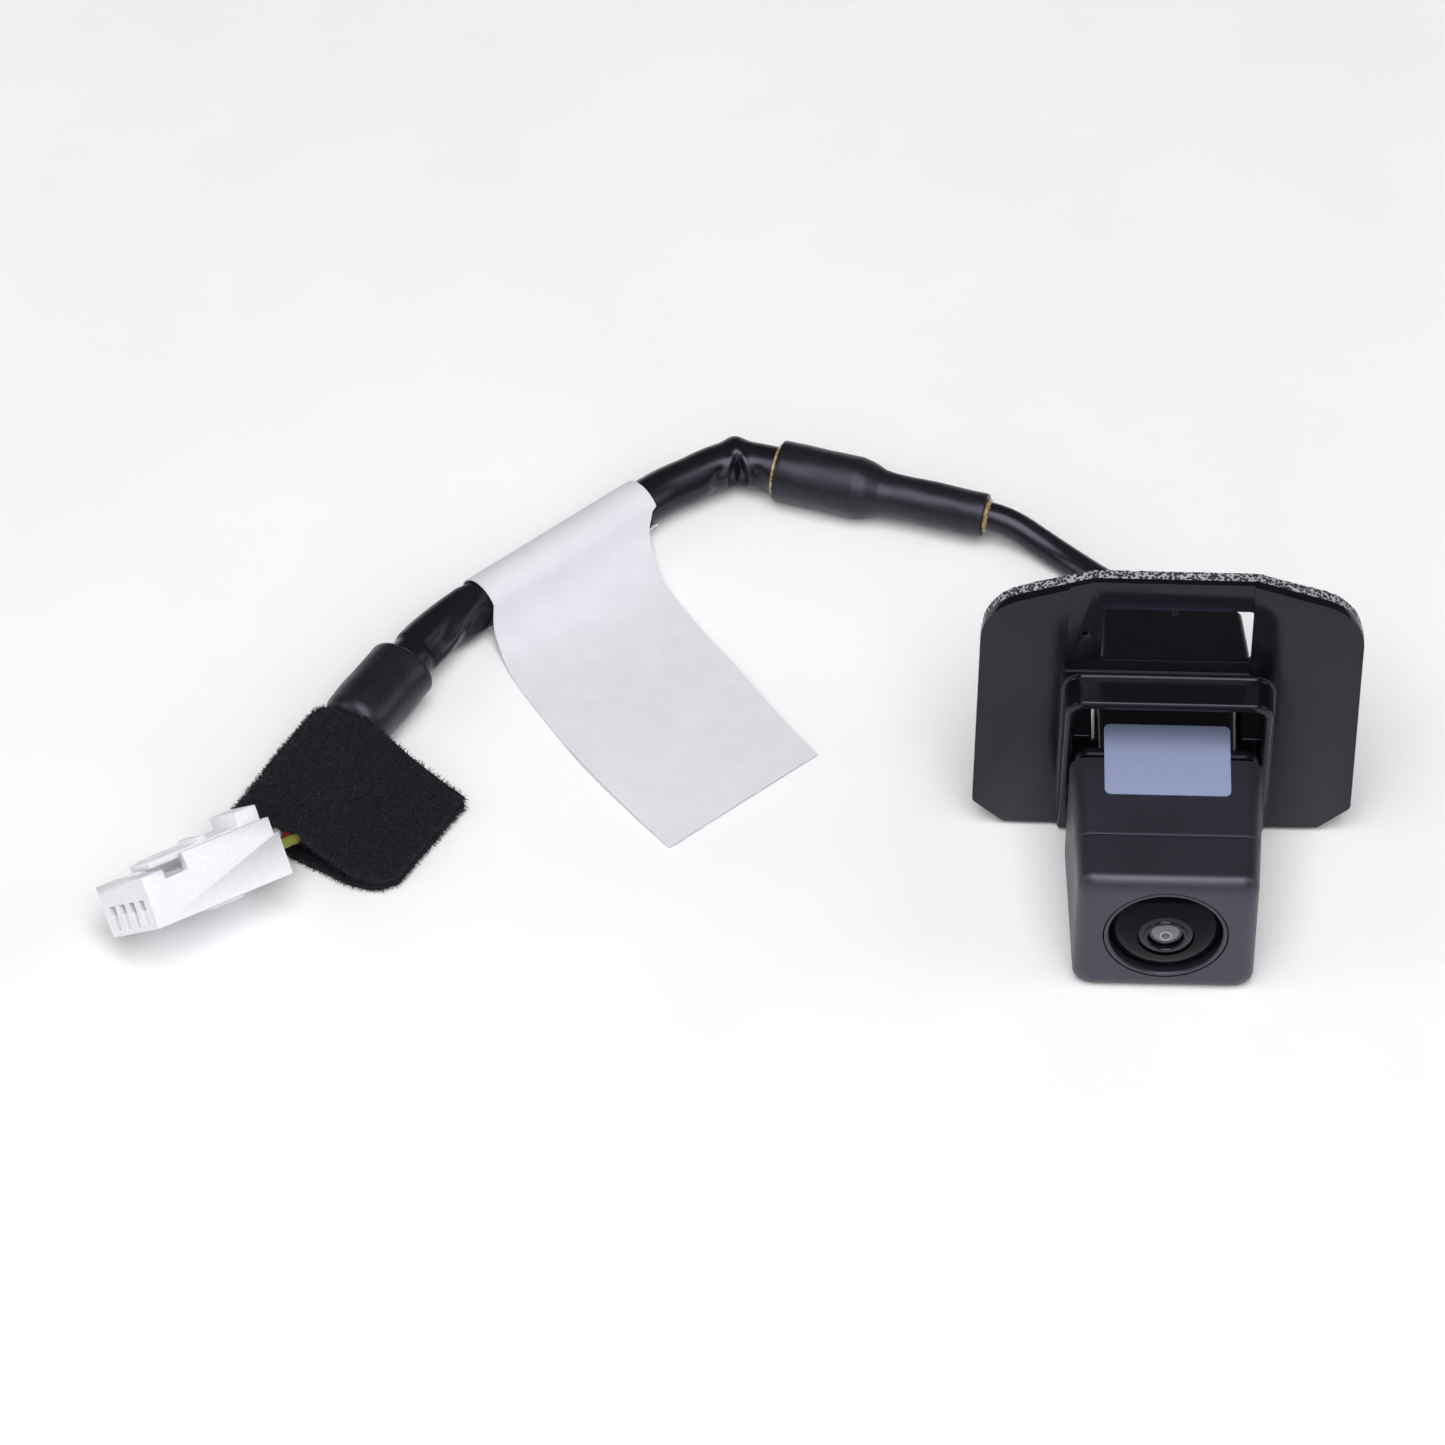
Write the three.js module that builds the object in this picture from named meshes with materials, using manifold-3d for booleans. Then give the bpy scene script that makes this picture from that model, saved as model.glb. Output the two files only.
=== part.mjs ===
// Rear-view (backup) camera for a car's trunk garnish, with its pigtail, in millimetres, +Z up.
// The lens looks along -Y. Origin: middle of the camera head's base, on the surface it stands on.
import * as THREE from 'three';
import { mergeVertices } from 'three/addons/utils/BufferGeometryUtils.js';
import Module from 'manifold-3d';

const wasm = await Module();
wasm.setup();

// ---------- driving dimensions ----------
const FRONT_Y = -27.8;               // plane of the housing's front face; depths below count back from it
const BASE_Z = 0;                    // underside of the camera housing
const LENS_Z = 10.9;                 // height of the lens axis

const HOUSING = { halfFront: 12.1, halfRear: 13.05, height: 21.4, depth: 22.5, corner: 2.2, edge: 1.8, topEdge: 2.6 };
const CAVITY = { half: 9.4, low: 1.6, high: 19.8, front: 3.0 };
const FLANGE = { front: 23.1, rear: 24.4, half: 12.35, low: 0.3, high: 21.3, corner: 2.0 };
const REAR_BODY = { rear: 38.0, half: 9.65, low: 0.5, high: 21.3, corner: 1.6, wall: 1.3 };
const SCREW_HOLE = { x: 11.0, low: 4.2, high: 17.4 };
const BOOT = { front: 38.3, straight: 41.0, rear: 50.0, x: 1.4, half: 10.2, low: 0.9, high: 21.3, corner: 1.2, edge: 0.4, taper: 0.55 };
const GROMMET = { x: 0.8, rear: 56.0, baseRadius: 4.4, tipRadius: 2.9 };
const CABLE_Z = 10.5;

const PLATE = { front: 29.0, thick: 1.3, half: 25.7, low: 0.7, high: 48.3, flatHalf: 11.0, shoulder: 43.1 };
const FOAM = { gap: 0.1, thick: 1.9, inset: 0.3, archHalf: 14.5, archTop: 31.2 };
const HOOD = { half: 14.0, top: 30.5, wall: 1.4, corner: 2.8, frontTop: 23.9, frontLow: 28.0 };
const WINDOW = { left: -9.4, right: 10.7, low: 33.2, high: 43.2 };
const CHEEK = { inner: 10.0, outer: 13.95, rear: 37.3, low: 3.0, high: 18.0, screwDepth: 34.5 };
const TAB = { inner: 17.0, outer: 21.0, reach: 6.5, thick: 1.8, hook: 0.9 };
const TAB_HEIGHTS = [9.0, 34.0];

const LABEL = { half: 8.5, front: 15.7, rear: 28.3, thick: 0.2, corner: 0.8 };

// the route of the pigtail along the surface the camera stands on
const CABLE_RADIUS = 2.0;
const SLEEVE_RADIUS = 3.2;
const SPLICE = { start: [-23.8, 54.6], end: [-52.5, 62.3], z: 4.4, thin: 3.0, thick: 4.35, step: 0.54 };
const END_SHRINK = { start: [-103.7, 23.4], end: [-110.6, 12.1], z: 4.5, radius: 4.35 };
const GLUE = { thick: 0.8, gap: 0.1 };
const FACE_GAP = 0.3;
const CABLE_ROUTE = [[0.8, 28.5, 10.5], [0.8, 30.0, 10.4], [0.5, 31.7, 9.8], [0.0, 33.7, 8.6], [-1.0, 36.2, 6.9],
  [-2.1, 38.1, 5.6], [-3.6, 40.1, 4.3], [-5.5, 42.2, 3.2], [-7.9, 44.5, 2.5], [-10.6, 47.0, 2.2],
  [-13.4, 49.3, 2.3], [-16.1, 51.2, 2.8],
  [-18.9, 52.9, 3.6], [-20.6, 53.65, 4.05], [-22.3, 54.2, 4.35]];
const SLEEVE_ROUTE = [[-53.66, 62.6, 4.4], [-56.0, 63.15, 4.4], [-58.6, 63.4, 4.5], [-61.4, 62.4, 4.4],
  [-64.9, 60.4, 4.1], [-68.4, 58.3, 3.9], [-71.5, 55.8, 3.8], [-75.9, 51.92, 3.8], [-80.3, 48.04, 3.8],
  [-84.7, 44.16, 3.8], [-89.1, 40.28, 3.8], [-93.5, 36.4, 3.8], [-97.4, 32.4, 3.9], [-100.6, 28.4, 4.2], [-103.07, 24.42, 4.5]];

// the label: wrapped once round the sleeve, then a flag lying on the surface
const WRAP = { start: [-71.5, 55.8], end: [-93.5, 36.4], z: 3.8, radius: 3.65, thick: 0.25 };
const WRAP_ANGLES = { from: -20, to: -325, steps: 14 };
// distance out from the sleeve's axis, height, then where the two side edges are along the sleeve
const FLAG_PATH = [[4.6, 3.4, 2.6, 30.6], [6.9, 1.3, 3.6, 31.4], [10.5, 0.45, 5.0, 32.6], [20, 0.35, 6.8, 34.4],
  [30, 0.7, 8.0, 35.8], [40, 0.5, 9.2, 36.3], [48.6, 0.35, 9.8, 36.4]];

// the loop tape: folded round the wires, its two ends lying together as a flap
const TAPE = { start: 0.5, thick: 1.0, foldOffset: -5.3 };
// distance out from the fold, height, then the tape's width there: its far corner is cut round
const TAPE_PATH = [[24.3, 0.6, 16.4], [22.6, 0.6, 18.9], [19.2, 0.6, 20.1], [14, 0.6, 20.3], [4, 0.6, 20.3],
  [1.4, 0.9, 20.3], [0.2, 2.2, 20.3], [0.1, 3.8, 20.3], [0.9, 5.7, 20.3], [2.8, 7.1, 20.3], [5.6, 7.6, 20.3],
  [9.0, 7.5, 20.3], [12.2, 6.6, 20.3], [15.6, 4.9, 20.3], [19.2, 3.6, 20.1], [22.6, 2.5, 18.9], [24.3, 2.0, 16.4]];

// the connector leans on one long edge; its own axes are across (X), forwards (Y) and up (Z)
const CONNECTOR = {
  place: [-121.8, -12.6, 6.8], forward: [-0.75, -0.63, 0.2], across: [0.5618, -0.4488, 0.6949],
  half: 5.75, length: 23, low: -3.9, high: 2.0, pitch: 2.4, ways: 4, cavity: 1.9,
};
const LATCH = { half: 2.4, rear: 0.4, pivot: 18.5, low: 3.6, high: 4.5, padRear: 5.0, padHigh: 6.4, padHalf: 3.2 };
const RETAINER = { half: 5.0, rear: 8.0, front: 13.0, low: -4.4, high: -3.2, gap: 0.25 };
const WIRE = { radius: 0.7, bundlePitch: 1.6 };

const FINE = 24;
const COARSE = 12;

// ---------- materials ----------
const finish = (color, roughness, metalness = 0) => new THREE.MeshStandardMaterial({ color, roughness, metalness });
const MATTE_BLACK = finish(0x2e2e34, 0.62);
const GLOSS_BLACK = finish(0x17171c, 0.18);
const RUBBER = finish(0x1b1b1e, 0.7);
const FOAM_BLACK = finish(0x55555c, 0.95);
const GLASS = finish(0x0c0d12, 0.04);
const RING_GREY = finish(0x4a4a52, 0.4);
const STEEL = finish(0x9b9ca2, 0.35, 0.9);
const BOARD_GREEN = finish(0x1d4b2e, 0.5);
const CHIP = finish(0x222226, 0.5);
const PAPER = finish(0xe9e9ee, 0.6);
const LABEL_BLUE = finish(0x969fc0, 0.5);
const TAPE_BLACK = finish(0x1c1b20, 0.95);
const NYLON = finish(0xf2f2ef, 0.4);
const AMBER = finish(0x8a5a24, 0.3);
const BRASS = finish(0xb08d4a, 0.35, 0.9);
const WIRE_COLOURS = [0x1c1c1e, 0xb9b9b4, 0x7d2624, 0x7a7b30];

// ---------- shared shape helpers ----------
const depth = (d) => FRONT_Y + d;

/** A closed mesh as a solid, turned the right way out if its faces point in. */
function solid(geometry) {
  const bare = geometry.clone();
  for (const name of Object.keys(bare.attributes)) if (name !== 'position') bare.deleteAttribute(name);
  const merged = mergeVertices(bare, 1e-5);
  const index = Uint32Array.from(merged.index.array);
  const at = merged.attributes.position;
  const corner = [new THREE.Vector3(), new THREE.Vector3(), new THREE.Vector3()];
  let volume = 0;
  for (let i = 0; i < index.length; i += 3) {
    corner.forEach((point, k) => point.fromBufferAttribute(at, index[i + k]));
    volume += corner[0].dot(corner[1].clone().cross(corner[2]));
  }
  if (volume < 0) for (let i = 0; i < index.length; i += 3) [index[i], index[i + 1]] = [index[i + 1], index[i]];
  return new wasm.Manifold(new wasm.Mesh({
    numProp: 3, vertProperties: Float32Array.from(at.array), triVerts: index,
  }));
}

/** A solid as a mesh geometry. */
function geometryOf(body) {
  const { vertProperties, triVerts } = body.getMesh();
  const geometry = new THREE.BufferGeometry();
  geometry.setAttribute('position', new THREE.BufferAttribute(vertProperties, 3));
  geometry.setIndex(new THREE.BufferAttribute(triVerts, 1));
  geometry.computeVertexNormals();
  return geometry;
}

function block(x0, x1, y0, y1, z0, z1) {
  const box = new THREE.BoxGeometry(x1 - x0, y1 - y0, z1 - z0);
  return solid(box.translate((x0 + x1) / 2, (y0 + y1) / 2, (z0 + z1) / 2));
}

function rodAlongY(radius, y0, y1, x, z, sides = COARSE) {
  return solid(new THREE.CylinderGeometry(radius, radius, y1 - y0, sides).translate(x, (y0 + y1) / 2, z));
}

function rodAlongX(radius, x0, x1, y, z, sides = COARSE) {
  const rod = new THREE.CylinderGeometry(radius, radius, x1 - x0, sides).rotateZ(Math.PI / 2);
  return solid(rod.translate((x0 + x1) / 2, y, z));
}

/** A closed profile of [radius, y] pairs turned about the line x, z that runs along Y. */
function turned(profile, x, z, sides = FINE) {
  const points = profile.map(([r, y]) => new THREE.Vector2(r, y));
  return solid(new THREE.LatheGeometry(points, sides).translate(x, 0, z));
}

/** A flat ring between two radii and two depths, about the lens axis. */
function lensRing(inner, outer, d0, d1, sides = FINE) {
  const profile = [[inner, depth(d0)], [outer, depth(d0)], [outer, depth(d1)], [inner, depth(d1)], [inner, depth(d0)]];
  return turned(profile, 0, LENS_Z, sides);
}

/** An outline with rounded corners; each corner is [x, y, tangent length]. */
function roundedOutline(corners) {
  const shape = new THREE.Shape();
  corners.forEach(([x, y, tangent], i) => {
    const here = new THREE.Vector2(x, y);
    const [before, after] = [-1, 1].map((step) => {
      const other = corners[(i + step + corners.length) % corners.length];
      return here.clone().lerp(new THREE.Vector2(other[0], other[1]), tangent / here.distanceTo(new THREE.Vector2(other[0], other[1])));
    });
    if (i === 0) shape.moveTo(before.x, before.y);
    else shape.lineTo(before.x, before.y);
    if (tangent > 0) shape.quadraticCurveTo(x, y, after.x, after.y);
  });
  shape.closePath();
  return shape;
}

/** An outline drawn in X and Z, as a solid between two depths. */
function plateSolid(shape, d0, d1, curveSegments = 5) {
  const flat = new THREE.ExtrudeGeometry(shape, { depth: d1 - d0, bevelEnabled: false, curveSegments });
  return solid(flat.rotateX(Math.PI / 2).translate(0, depth(d1), 0));
}

/** A skin over rings that all have the same number of points, closed at both ends. */
function loft(rings) {
  const count = rings[0].length;
  const positions = rings.flat().flatMap((point) => [point.x, point.y, point.z]);
  const index = [];
  for (let r = 0; r + 1 < rings.length; r += 1) {
    for (let i = 0; i < count; i += 1) {
      const [a, b] = [r * count + i, r * count + ((i + 1) % count)];
      index.push(a, b, b + count, a, b + count, a + count);
    }
  }
  const last = (rings.length - 1) * count;
  for (let i = 1; i + 1 < count; i += 1) index.push(0, i + 1, i, last, last + i, last + i + 1);
  const geometry = new THREE.BufferGeometry();
  geometry.setAttribute('position', new THREE.Float32BufferAttribute(positions, 3));
  geometry.setIndex(index);
  return solid(geometry);
}

/** A rounded rectangle standing across the lens axis, as a ring of points. */
function ringAt(d, half, low, high, corner, x = 0, steps = 4) {
  const centres = [[half - corner, high - corner], [corner - half, high - corner],
    [corner - half, low + corner], [half - corner, low + corner]];
  return centres.flatMap(([cx, cz], quarter) => Array.from({ length: steps + 1 }, (_, i) => {
    const angle = (quarter + i / steps) * Math.PI / 2;
    return new THREE.Vector3(x + cx + corner * Math.cos(angle), depth(d), cz + corner * Math.sin(angle));
  }));
}

const vector = ([x, y, z = 0]) => new THREE.Vector3(x, y, z);

/** A round cord along a smooth curve through the points. */
function tube(points, radius, steps, sides = 8) {
  const section = new THREE.Shape();
  for (let i = 0; i < sides; i += 1) {
    const angle = (i / sides) * 2 * Math.PI;
    section[i ? 'lineTo' : 'moveTo'](radius * Math.cos(angle), radius * Math.sin(angle));
  }
  section.closePath();
  const extrudePath = new THREE.CatmullRomCurve3(points.map(vector), false, 'centripetal');
  return solid(new THREE.ExtrudeGeometry(section, { steps, extrudePath }));
}

/** A profile of [radius, distance] pairs turned about the level line that starts at a point. */
function turnedAlong(profile, start, direction, z, sides = 16) {
  const points = profile.map(([r, along]) => new THREE.Vector2(r, along));
  const shape = new THREE.LatheGeometry(points, sides);
  const turn = new THREE.Quaternion().setFromUnitVectors(new THREE.Vector3(0, 1, 0), direction);
  return solid(shape.applyQuaternion(turn).translate(start.x, start.y, z));
}

/** A thin sheet that follows a path of centre points; each entry is [one edge, other edge, normal]. */
function sheetAlong(entries, thick) {
  return loft(entries.map(([edgeA, edgeB, normal]) => {
    const half = normal.clone().multiplyScalar(thick / 2);
    return [edgeA.clone().add(half), edgeB.clone().add(half), edgeB.clone().sub(half), edgeA.clone().sub(half)];
  }));
}

const group = new THREE.Group();

/** Adds a solid to the model as its own named piece. */
function piece(name, body, material, parent = group) {
  const mesh = new THREE.Mesh(geometryOf(body), material);
  mesh.name = name;
  parent.add(mesh);
  return mesh;
}

// ---------- bracket: plate, visor hood, screw cheeks and snap tabs ----------
function plateOutline(inset) {
  const side = PLATE.half - inset;
  const [low, high] = [PLATE.low + inset, PLATE.high - inset];
  const right = [[21.4, low, 0.8], [side, 4.8, 1.0], [side, PLATE.shoulder, 5.5], [PLATE.flatHalf, high, 0.8]];
  const left = right.map(([x, z, tangent]) => [-x, z, tangent]).reverse();
  return roundedOutline([...right, ...left]);
}

/** An arch open at the bottom, as a solid outline for the hood or for the hole through it. */
function arch(half, top, corner, low) {
  return roundedOutline([[half, low, 0], [half, top, corner], [-half, top, corner], [-half, low, 0]]);
}

function hood() {
  const back = PLATE.front + PLATE.thick;
  const shell = plateSolid(arch(HOOD.half, HOOD.top, HOOD.corner, PLATE.low), HOOD.frontTop, back);
  const slope = (HOOD.frontLow - HOOD.frontTop) / (HOOD.top - PLATE.low);
  const [under, over] = [-2, 32];
  const edgeDepth = (z) => depth(HOOD.frontTop + (HOOD.top - z) * slope);
  const front = depth(20);
  const side = new THREE.Shape([
    new THREE.Vector2(front, under), new THREE.Vector2(edgeDepth(under), under),
    new THREE.Vector2(edgeDepth(over), over), new THREE.Vector2(front, over)]);
  const width = 2 * HOOD.half + 4;
  const wedge = new THREE.ExtrudeGeometry(side, { depth: width, bevelEnabled: false });
  const [alongX, alongY, alongZ] = [0, 1, 2].map((axis) => new THREE.Vector3().setComponent(axis, 1));
  wedge.applyMatrix4(new THREE.Matrix4().makeBasis(alongY, alongZ, alongX)).translate(-width / 2, 0, 0);
  return shell.subtract(solid(wedge));
}

/** Runs a maker for the left side, -1, and the right side, +1. */
const bothSides = (make) => [-1, 1].map(make);

/** A block given by its distances out from the middle, on one side. */
function sideBlock(side, inner, outer, d0, d1, z0, z1) {
  const [x0, x1] = [side * inner, side * outer].sort((a, b) => a - b);
  return block(x0, x1, depth(d0), depth(d1), z0, z1);
}

function snapTab(side, z) {
  const back = PLATE.front + PLATE.thick;
  const tip = back + TAB.reach;
  const arm = sideBlock(side, TAB.inner, TAB.outer, back - 0.5, tip, z, z + TAB.thick);
  return arm.add(sideBlock(side, TAB.inner, TAB.outer, tip - 1.6, tip, z, z + TAB.thick + TAB.hook));
}

function bracket() {
  const back = PLATE.front + PLATE.thick;
  const inner = HOOD.half - HOOD.wall;
  let body = plateSolid(plateOutline(0), PLATE.front, back).add(hood());
  body = body.subtract(plateSolid(arch(inner, HOOD.top - HOOD.wall, HOOD.corner - HOOD.wall, -1), 20, back + 1));
  const recess = 0.4;
  body = body.subtract(block(-14.1, 10.6, depth(28), depth(PLATE.front + recess), 31.0, 50));
  body = body.subtract(block(WINDOW.left, WINDOW.right, depth(28), depth(back + 1), WINDOW.low, WINDOW.high));
  body = body.subtract(rodAlongY(0.4, depth(28), depth(back + 1), -11.7, 38.3, 8));
  body = body.add(block(-0.15, 0.5, depth(back - 0.4), depth(back + 1.2), WINDOW.high - 2.2, WINDOW.high + 1));
  for (const side of [-1, 1]) {
    body = body.add(sideBlock(side, CHEEK.inner, CHEEK.outer, PLATE.front, CHEEK.rear, CHEEK.low, CHEEK.high));
    body = body.subtract(rodAlongX(1.05, side * 12 - 3, side * 12 + 3, depth(CHEEK.screwDepth), CABLE_Z));
    for (const z of TAB_HEIGHTS) body = body.add(snapTab(side, z));
  }
  return body;
}

function foamGasket() {
  const front = PLATE.front + PLATE.thick + FOAM.gap;
  const rear = front + FOAM.thick;
  let body = plateSolid(plateOutline(FOAM.inset), front, rear);
  body = body.subtract(plateSolid(arch(FOAM.archHalf, FOAM.archTop, 1.5, -1), front - 1, rear + 1));
  body = body.subtract(block(WINDOW.left - 0.4, WINDOW.right + 0.4, depth(front - 1), depth(rear + 1),
    FOAM.archTop - 0.5, WINDOW.high + 1.3));
  body = body.subtract(rodAlongY(0.5, depth(front - 1), depth(rear + 1), -11.7, 38.3, 8));
  const clear = 0.5;
  for (const side of [-1, 1]) {
    for (const z of TAB_HEIGHTS) {
      const hole = sideBlock(side, TAB.inner - clear, TAB.outer + clear, front - 1, rear + 1,
        z - clear, z + TAB.thick + clear);
      body = body.subtract(hole);
    }
  }
  return body;
}

function bracketScrew(side) {
  const [tip, seat, top] = [8.9, CHEEK.outer + 0.05, CHEEK.outer + 1.25];
  const rod = (radius, from, to) => {
    const [x0, x1] = [side * from, side * to].sort((a, b) => a - b);
    return rodAlongX(radius, x0, x1, depth(CHEEK.screwDepth), CABLE_Z, 16);
  };
  const slotHalf = 0.25;
  const cross = sideBlock(side, top - 0.5, top + 1, CHEEK.screwDepth - slotHalf, CHEEK.screwDepth + slotHalf,
    CABLE_Z - 1.1, CABLE_Z + 1.1);
  return rod(0.85, tip, seat + 0.1).add(rod(1.9, seat, top)).subtract(cross);
}

// ---------- camera housing ----------
function frontHousing() {
  const { halfFront, halfRear, height, depth: length, corner, edge, topEdge } = HOUSING;
  const halfAt = (d) => halfFront + (halfRear - halfFront) * (d / length);
  const rings = [0, 30, 60, 90].map((degrees) => {
    const angle = THREE.MathUtils.degToRad(degrees);
    const inset = 1 - Math.sin(angle);
    const d = edge * (1 - Math.cos(angle));
    return ringAt(d, halfAt(d) - edge * inset, BASE_Z + edge * inset, height - topEdge * inset, corner);
  });
  rings.push(ringAt(length, halfAt(length), BASE_Z, height, corner));
  let body = loft(rings);
  body = body.subtract(block(-CAVITY.half, CAVITY.half, depth(CAVITY.front), depth(length + 1), CAVITY.low, CAVITY.high));
  body = body.subtract(rodAlongY(8.5, depth(-1), depth(CAVITY.front + 0.5), 0, LENS_Z, FINE));
  for (const x of [-SCREW_HOLE.x, SCREW_HOLE.x]) {
    for (const z of [SCREW_HOLE.low, SCREW_HOLE.high]) body = body.subtract(rodAlongY(0.85, depth(16), depth(23), x, z));
  }
  return body;
}

function rearHousing() {
  const { rear, half, low, high, corner, wall } = REAR_BODY;
  let body = loft([ringAt(FLANGE.front, FLANGE.half, FLANGE.low, FLANGE.high, FLANGE.corner),
    ringAt(FLANGE.rear, FLANGE.half, FLANGE.low, FLANGE.high, FLANGE.corner)]);
  body = body.add(loft([ringAt(FLANGE.front + 0.2, half, low, high, corner), ringAt(rear, half, low, high, corner)]));
  body = body.subtract(block(-half + wall, half - wall, depth(22), depth(rear - wall), low + wall, high - wall));
  body = body.subtract(rodAlongY(2.3, depth(rear - 3), depth(rear + 1), 0, CABLE_Z, 16));
  for (const x of [-SCREW_HOLE.x, SCREW_HOLE.x]) {
    for (const z of [SCREW_HOLE.low, SCREW_HOLE.high]) body = body.subtract(rodAlongY(0.95, depth(22), depth(26), x, z));
  }
  for (const side of [-1, 1]) {
    const hole = rodAlongX(1.1, side * 9.7 - 1, side * 9.7 + 1, depth(CHEEK.screwDepth), CABLE_Z);
    body = body.subtract(hole);
  }
  return body;
}

function housingScrew(x, z) {
  const seat = FLANGE.rear + 0.05;
  const screw = rodAlongY(0.7, depth(17), depth(seat + 0.1), x, z).add(rodAlongY(1.15, depth(seat), depth(seat + 1), x, z, 16));
  return screw.subtract(block(x - 0.7, x + 0.7, depth(seat + 0.6), depth(seat + 2), z - 0.15, z + 0.15));
}

function housingSeal() {
  const [front, rear] = [HOUSING.depth + 0.05, FLANGE.front - 0.05];
  const ring = block(-10.0, 10.0, depth(front), depth(rear), 0.95, 20.45);
  return ring.subtract(block(-9.45, 9.45, depth(front - 1), depth(rear + 1), 1.55, 19.85));
}

function topLabel() {
  const { half, front, rear, thick, corner } = LABEL;
  const outline = roundedOutline([[half, depth(front), corner], [half, depth(rear), corner],
    [-half, depth(rear), corner], [-half, depth(front), corner]]);
  const flat = new THREE.ExtrudeGeometry(outline, { depth: thick, bevelEnabled: false, curveSegments: 4 });
  return solid(flat.translate(0, 0, HOUSING.height + 0.05));
}

function rearBoot() {
  const { front, straight, rear, x, half, low, high, corner, edge, taper } = BOOT;
  const back = { half: half - taper, x: x - taper };
  const rings = [ringAt(front, half, low, high, corner, x, 5), ringAt(straight, half, low, high, corner, x, 5),
    ringAt(rear - edge, back.half, low, high, corner, back.x, 5),
    ringAt(rear, back.half - edge, low + edge, high - edge, corner, back.x, 5)];
  return loft(rings);
}

function cableGrommet() {
  const [y0, y1] = [depth(BOOT.rear + 0.1), depth(GROMMET.rear)];
  const { baseRadius, tipRadius } = GROMMET;
  const profile = [[0, y0], [baseRadius, y0], [baseRadius, y0 + 1.2], [tipRadius + 0.5, y0 + 2.6], [tipRadius, y1], [0, y1]];
  return turned(profile, GROMMET.x, CABLE_Z, 16);
}

// ---------- lens and electronics, front to back ----------
function lensShade() {
  const profile = [[3.85, -0.2], [5.4, 0.15], [6.7, 0.7], [7.5, 1.25], [7.5, 2.5], [3.85, 2.5], [3.85, -0.2]]
    .map(([r, d]) => [r, depth(d)]);
  return turned(profile, 0, LENS_Z);
}

/** A lens with a domed front and a flat back. */
function domedLens(radius, crown, d0, d1) {
  const steps = 5;
  const front = Array.from({ length: steps + 1 }, (_, i) => {
    const angle = (i / steps) * Math.PI / 2;
    return [radius * Math.sin(angle), depth(d0 + crown * (1 - Math.cos(angle)))];
  });
  front[0][0] = 0;
  return turned([...front, [radius, depth(d1)], [0, depth(d1)]], 0, LENS_Z, 20);
}

function lensBarrel() {
  const steps = [[3.2, 4.1], [7.2, 4.1], [7.2, 5.2], [5.6, 5.2], [5.6, 13.4], [3.2, 13.4], [3.2, 4.1]];
  return turned(steps.map(([r, d]) => [r, depth(d)]), 0, LENS_Z, 20);
}

/** The collar round the front lens, sloping up from its rim to the glass. */
function lensRetainer() {
  const profile = [[2.45, -0.4], [2.85, -0.4], [3.75, 0.1], [3.75, 3.0], [2.45, 3.0], [2.45, -0.4]];
  return turned(profile.map(([r, d]) => [r, depth(d)]), 0, LENS_Z, 20);
}

function centredBlock(halfX, d0, d1, halfZ, x = 0, z = LENS_Z) {
  return block(x - halfX, x + halfX, depth(d0), depth(d1), z - halfZ, z + halfZ);
}

function addOptics() {
  piece('lens_bezel', lensRing(7.65, 8.35, 0, 2.6), RING_GREY);
  piece('lens_shade', lensShade(), GLOSS_BLACK);
  piece('lens_retainer', lensRetainer(), RING_GREY);
  piece('front_lens', domedLens(2.35, 1.0, -0.1, 3.0), GLASS);
  piece('lens_oring', lensRing(6.2, 7.2, 3.15, 3.95, 20), RUBBER);
  piece('lens_barrel', lensBarrel(), RING_GREY);
  piece('lens_spacer', lensRing(2.0, 3.1, 4.3, 6.4, 16), GLOSS_BLACK);
  piece('middle_lens', domedLens(3.05, 0.7, 6.6, 8.4), GLASS);
  piece('rear_lens', domedLens(3.05, 0.9, 8.8, 11.4), GLASS);
  piece('infrared_filter', centredBlock(3.4, 13.6, 14.0, 3.4), GLASS);
  piece('image_sensor', centredBlock(3.2, 14.2, 15.2, 2.8), CHIP);
  piece('sensor_board', centredBlock(8.9, 15.3, 16.3, 8.2), BOARD_GREEN);
  piece('board_header', centredBlock(4.5, 16.4, 18.9, 1.1, 0, 6.0), CHIP);
  piece('processor_board', centredBlock(8.9, 19.0, 20.0, 8.2), BOARD_GREEN);
  piece('processor_shield', centredBlock(5.2, 20.1, 21.7, 4.2, -2.0, 13.5), STEEL);
  piece('cable_socket', centredBlock(4.2, 20.1, 24.6, 2.0, 0, 6.0), NYLON);
  piece('inner_cable', rodAlongY(1.9, depth(26), depth(BOOT.front - 0.2), 0, CABLE_Z, 10), RUBBER);
}

// ---------- pigtail ----------
/** Where a straight sleeve starts, its length and its level direction. */
function straight({ start, end }) {
  const from = vector(start);
  const way = vector(end).sub(from);
  return { from, length: way.length(), direction: way.normalize() };
}

function glueRing(at, direction, z, radius) {
  const { gap, thick } = GLUE;
  return turnedAlong([[0, gap], [radius, gap], [radius, gap + thick], [0, gap + thick]], at, direction, z, 12);
}

function addSplice() {
  const { from, length, direction } = straight(SPLICE);
  const { z, thin, thick, step } = SPLICE;
  const profile = [[0, 0], [thin, 0], [thin, length * step - 0.8], [thick - 0.1, length * step + 1.2],
    [thick, length * 0.7], [thick - 0.2, length], [0, length]];
  piece('splice_shrink', turnedAlong(profile, from, direction, z), RUBBER);
  const back = direction.clone().negate();
  piece('glue_ring_camera_side', glueRing(from, back, z, CABLE_RADIUS + 0.5), AMBER);
  const far = from.clone().addScaledVector(direction, length);
  piece('glue_ring_harness_side', glueRing(far, direction, z, SLEEVE_RADIUS + 0.4), AMBER);
}

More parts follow.
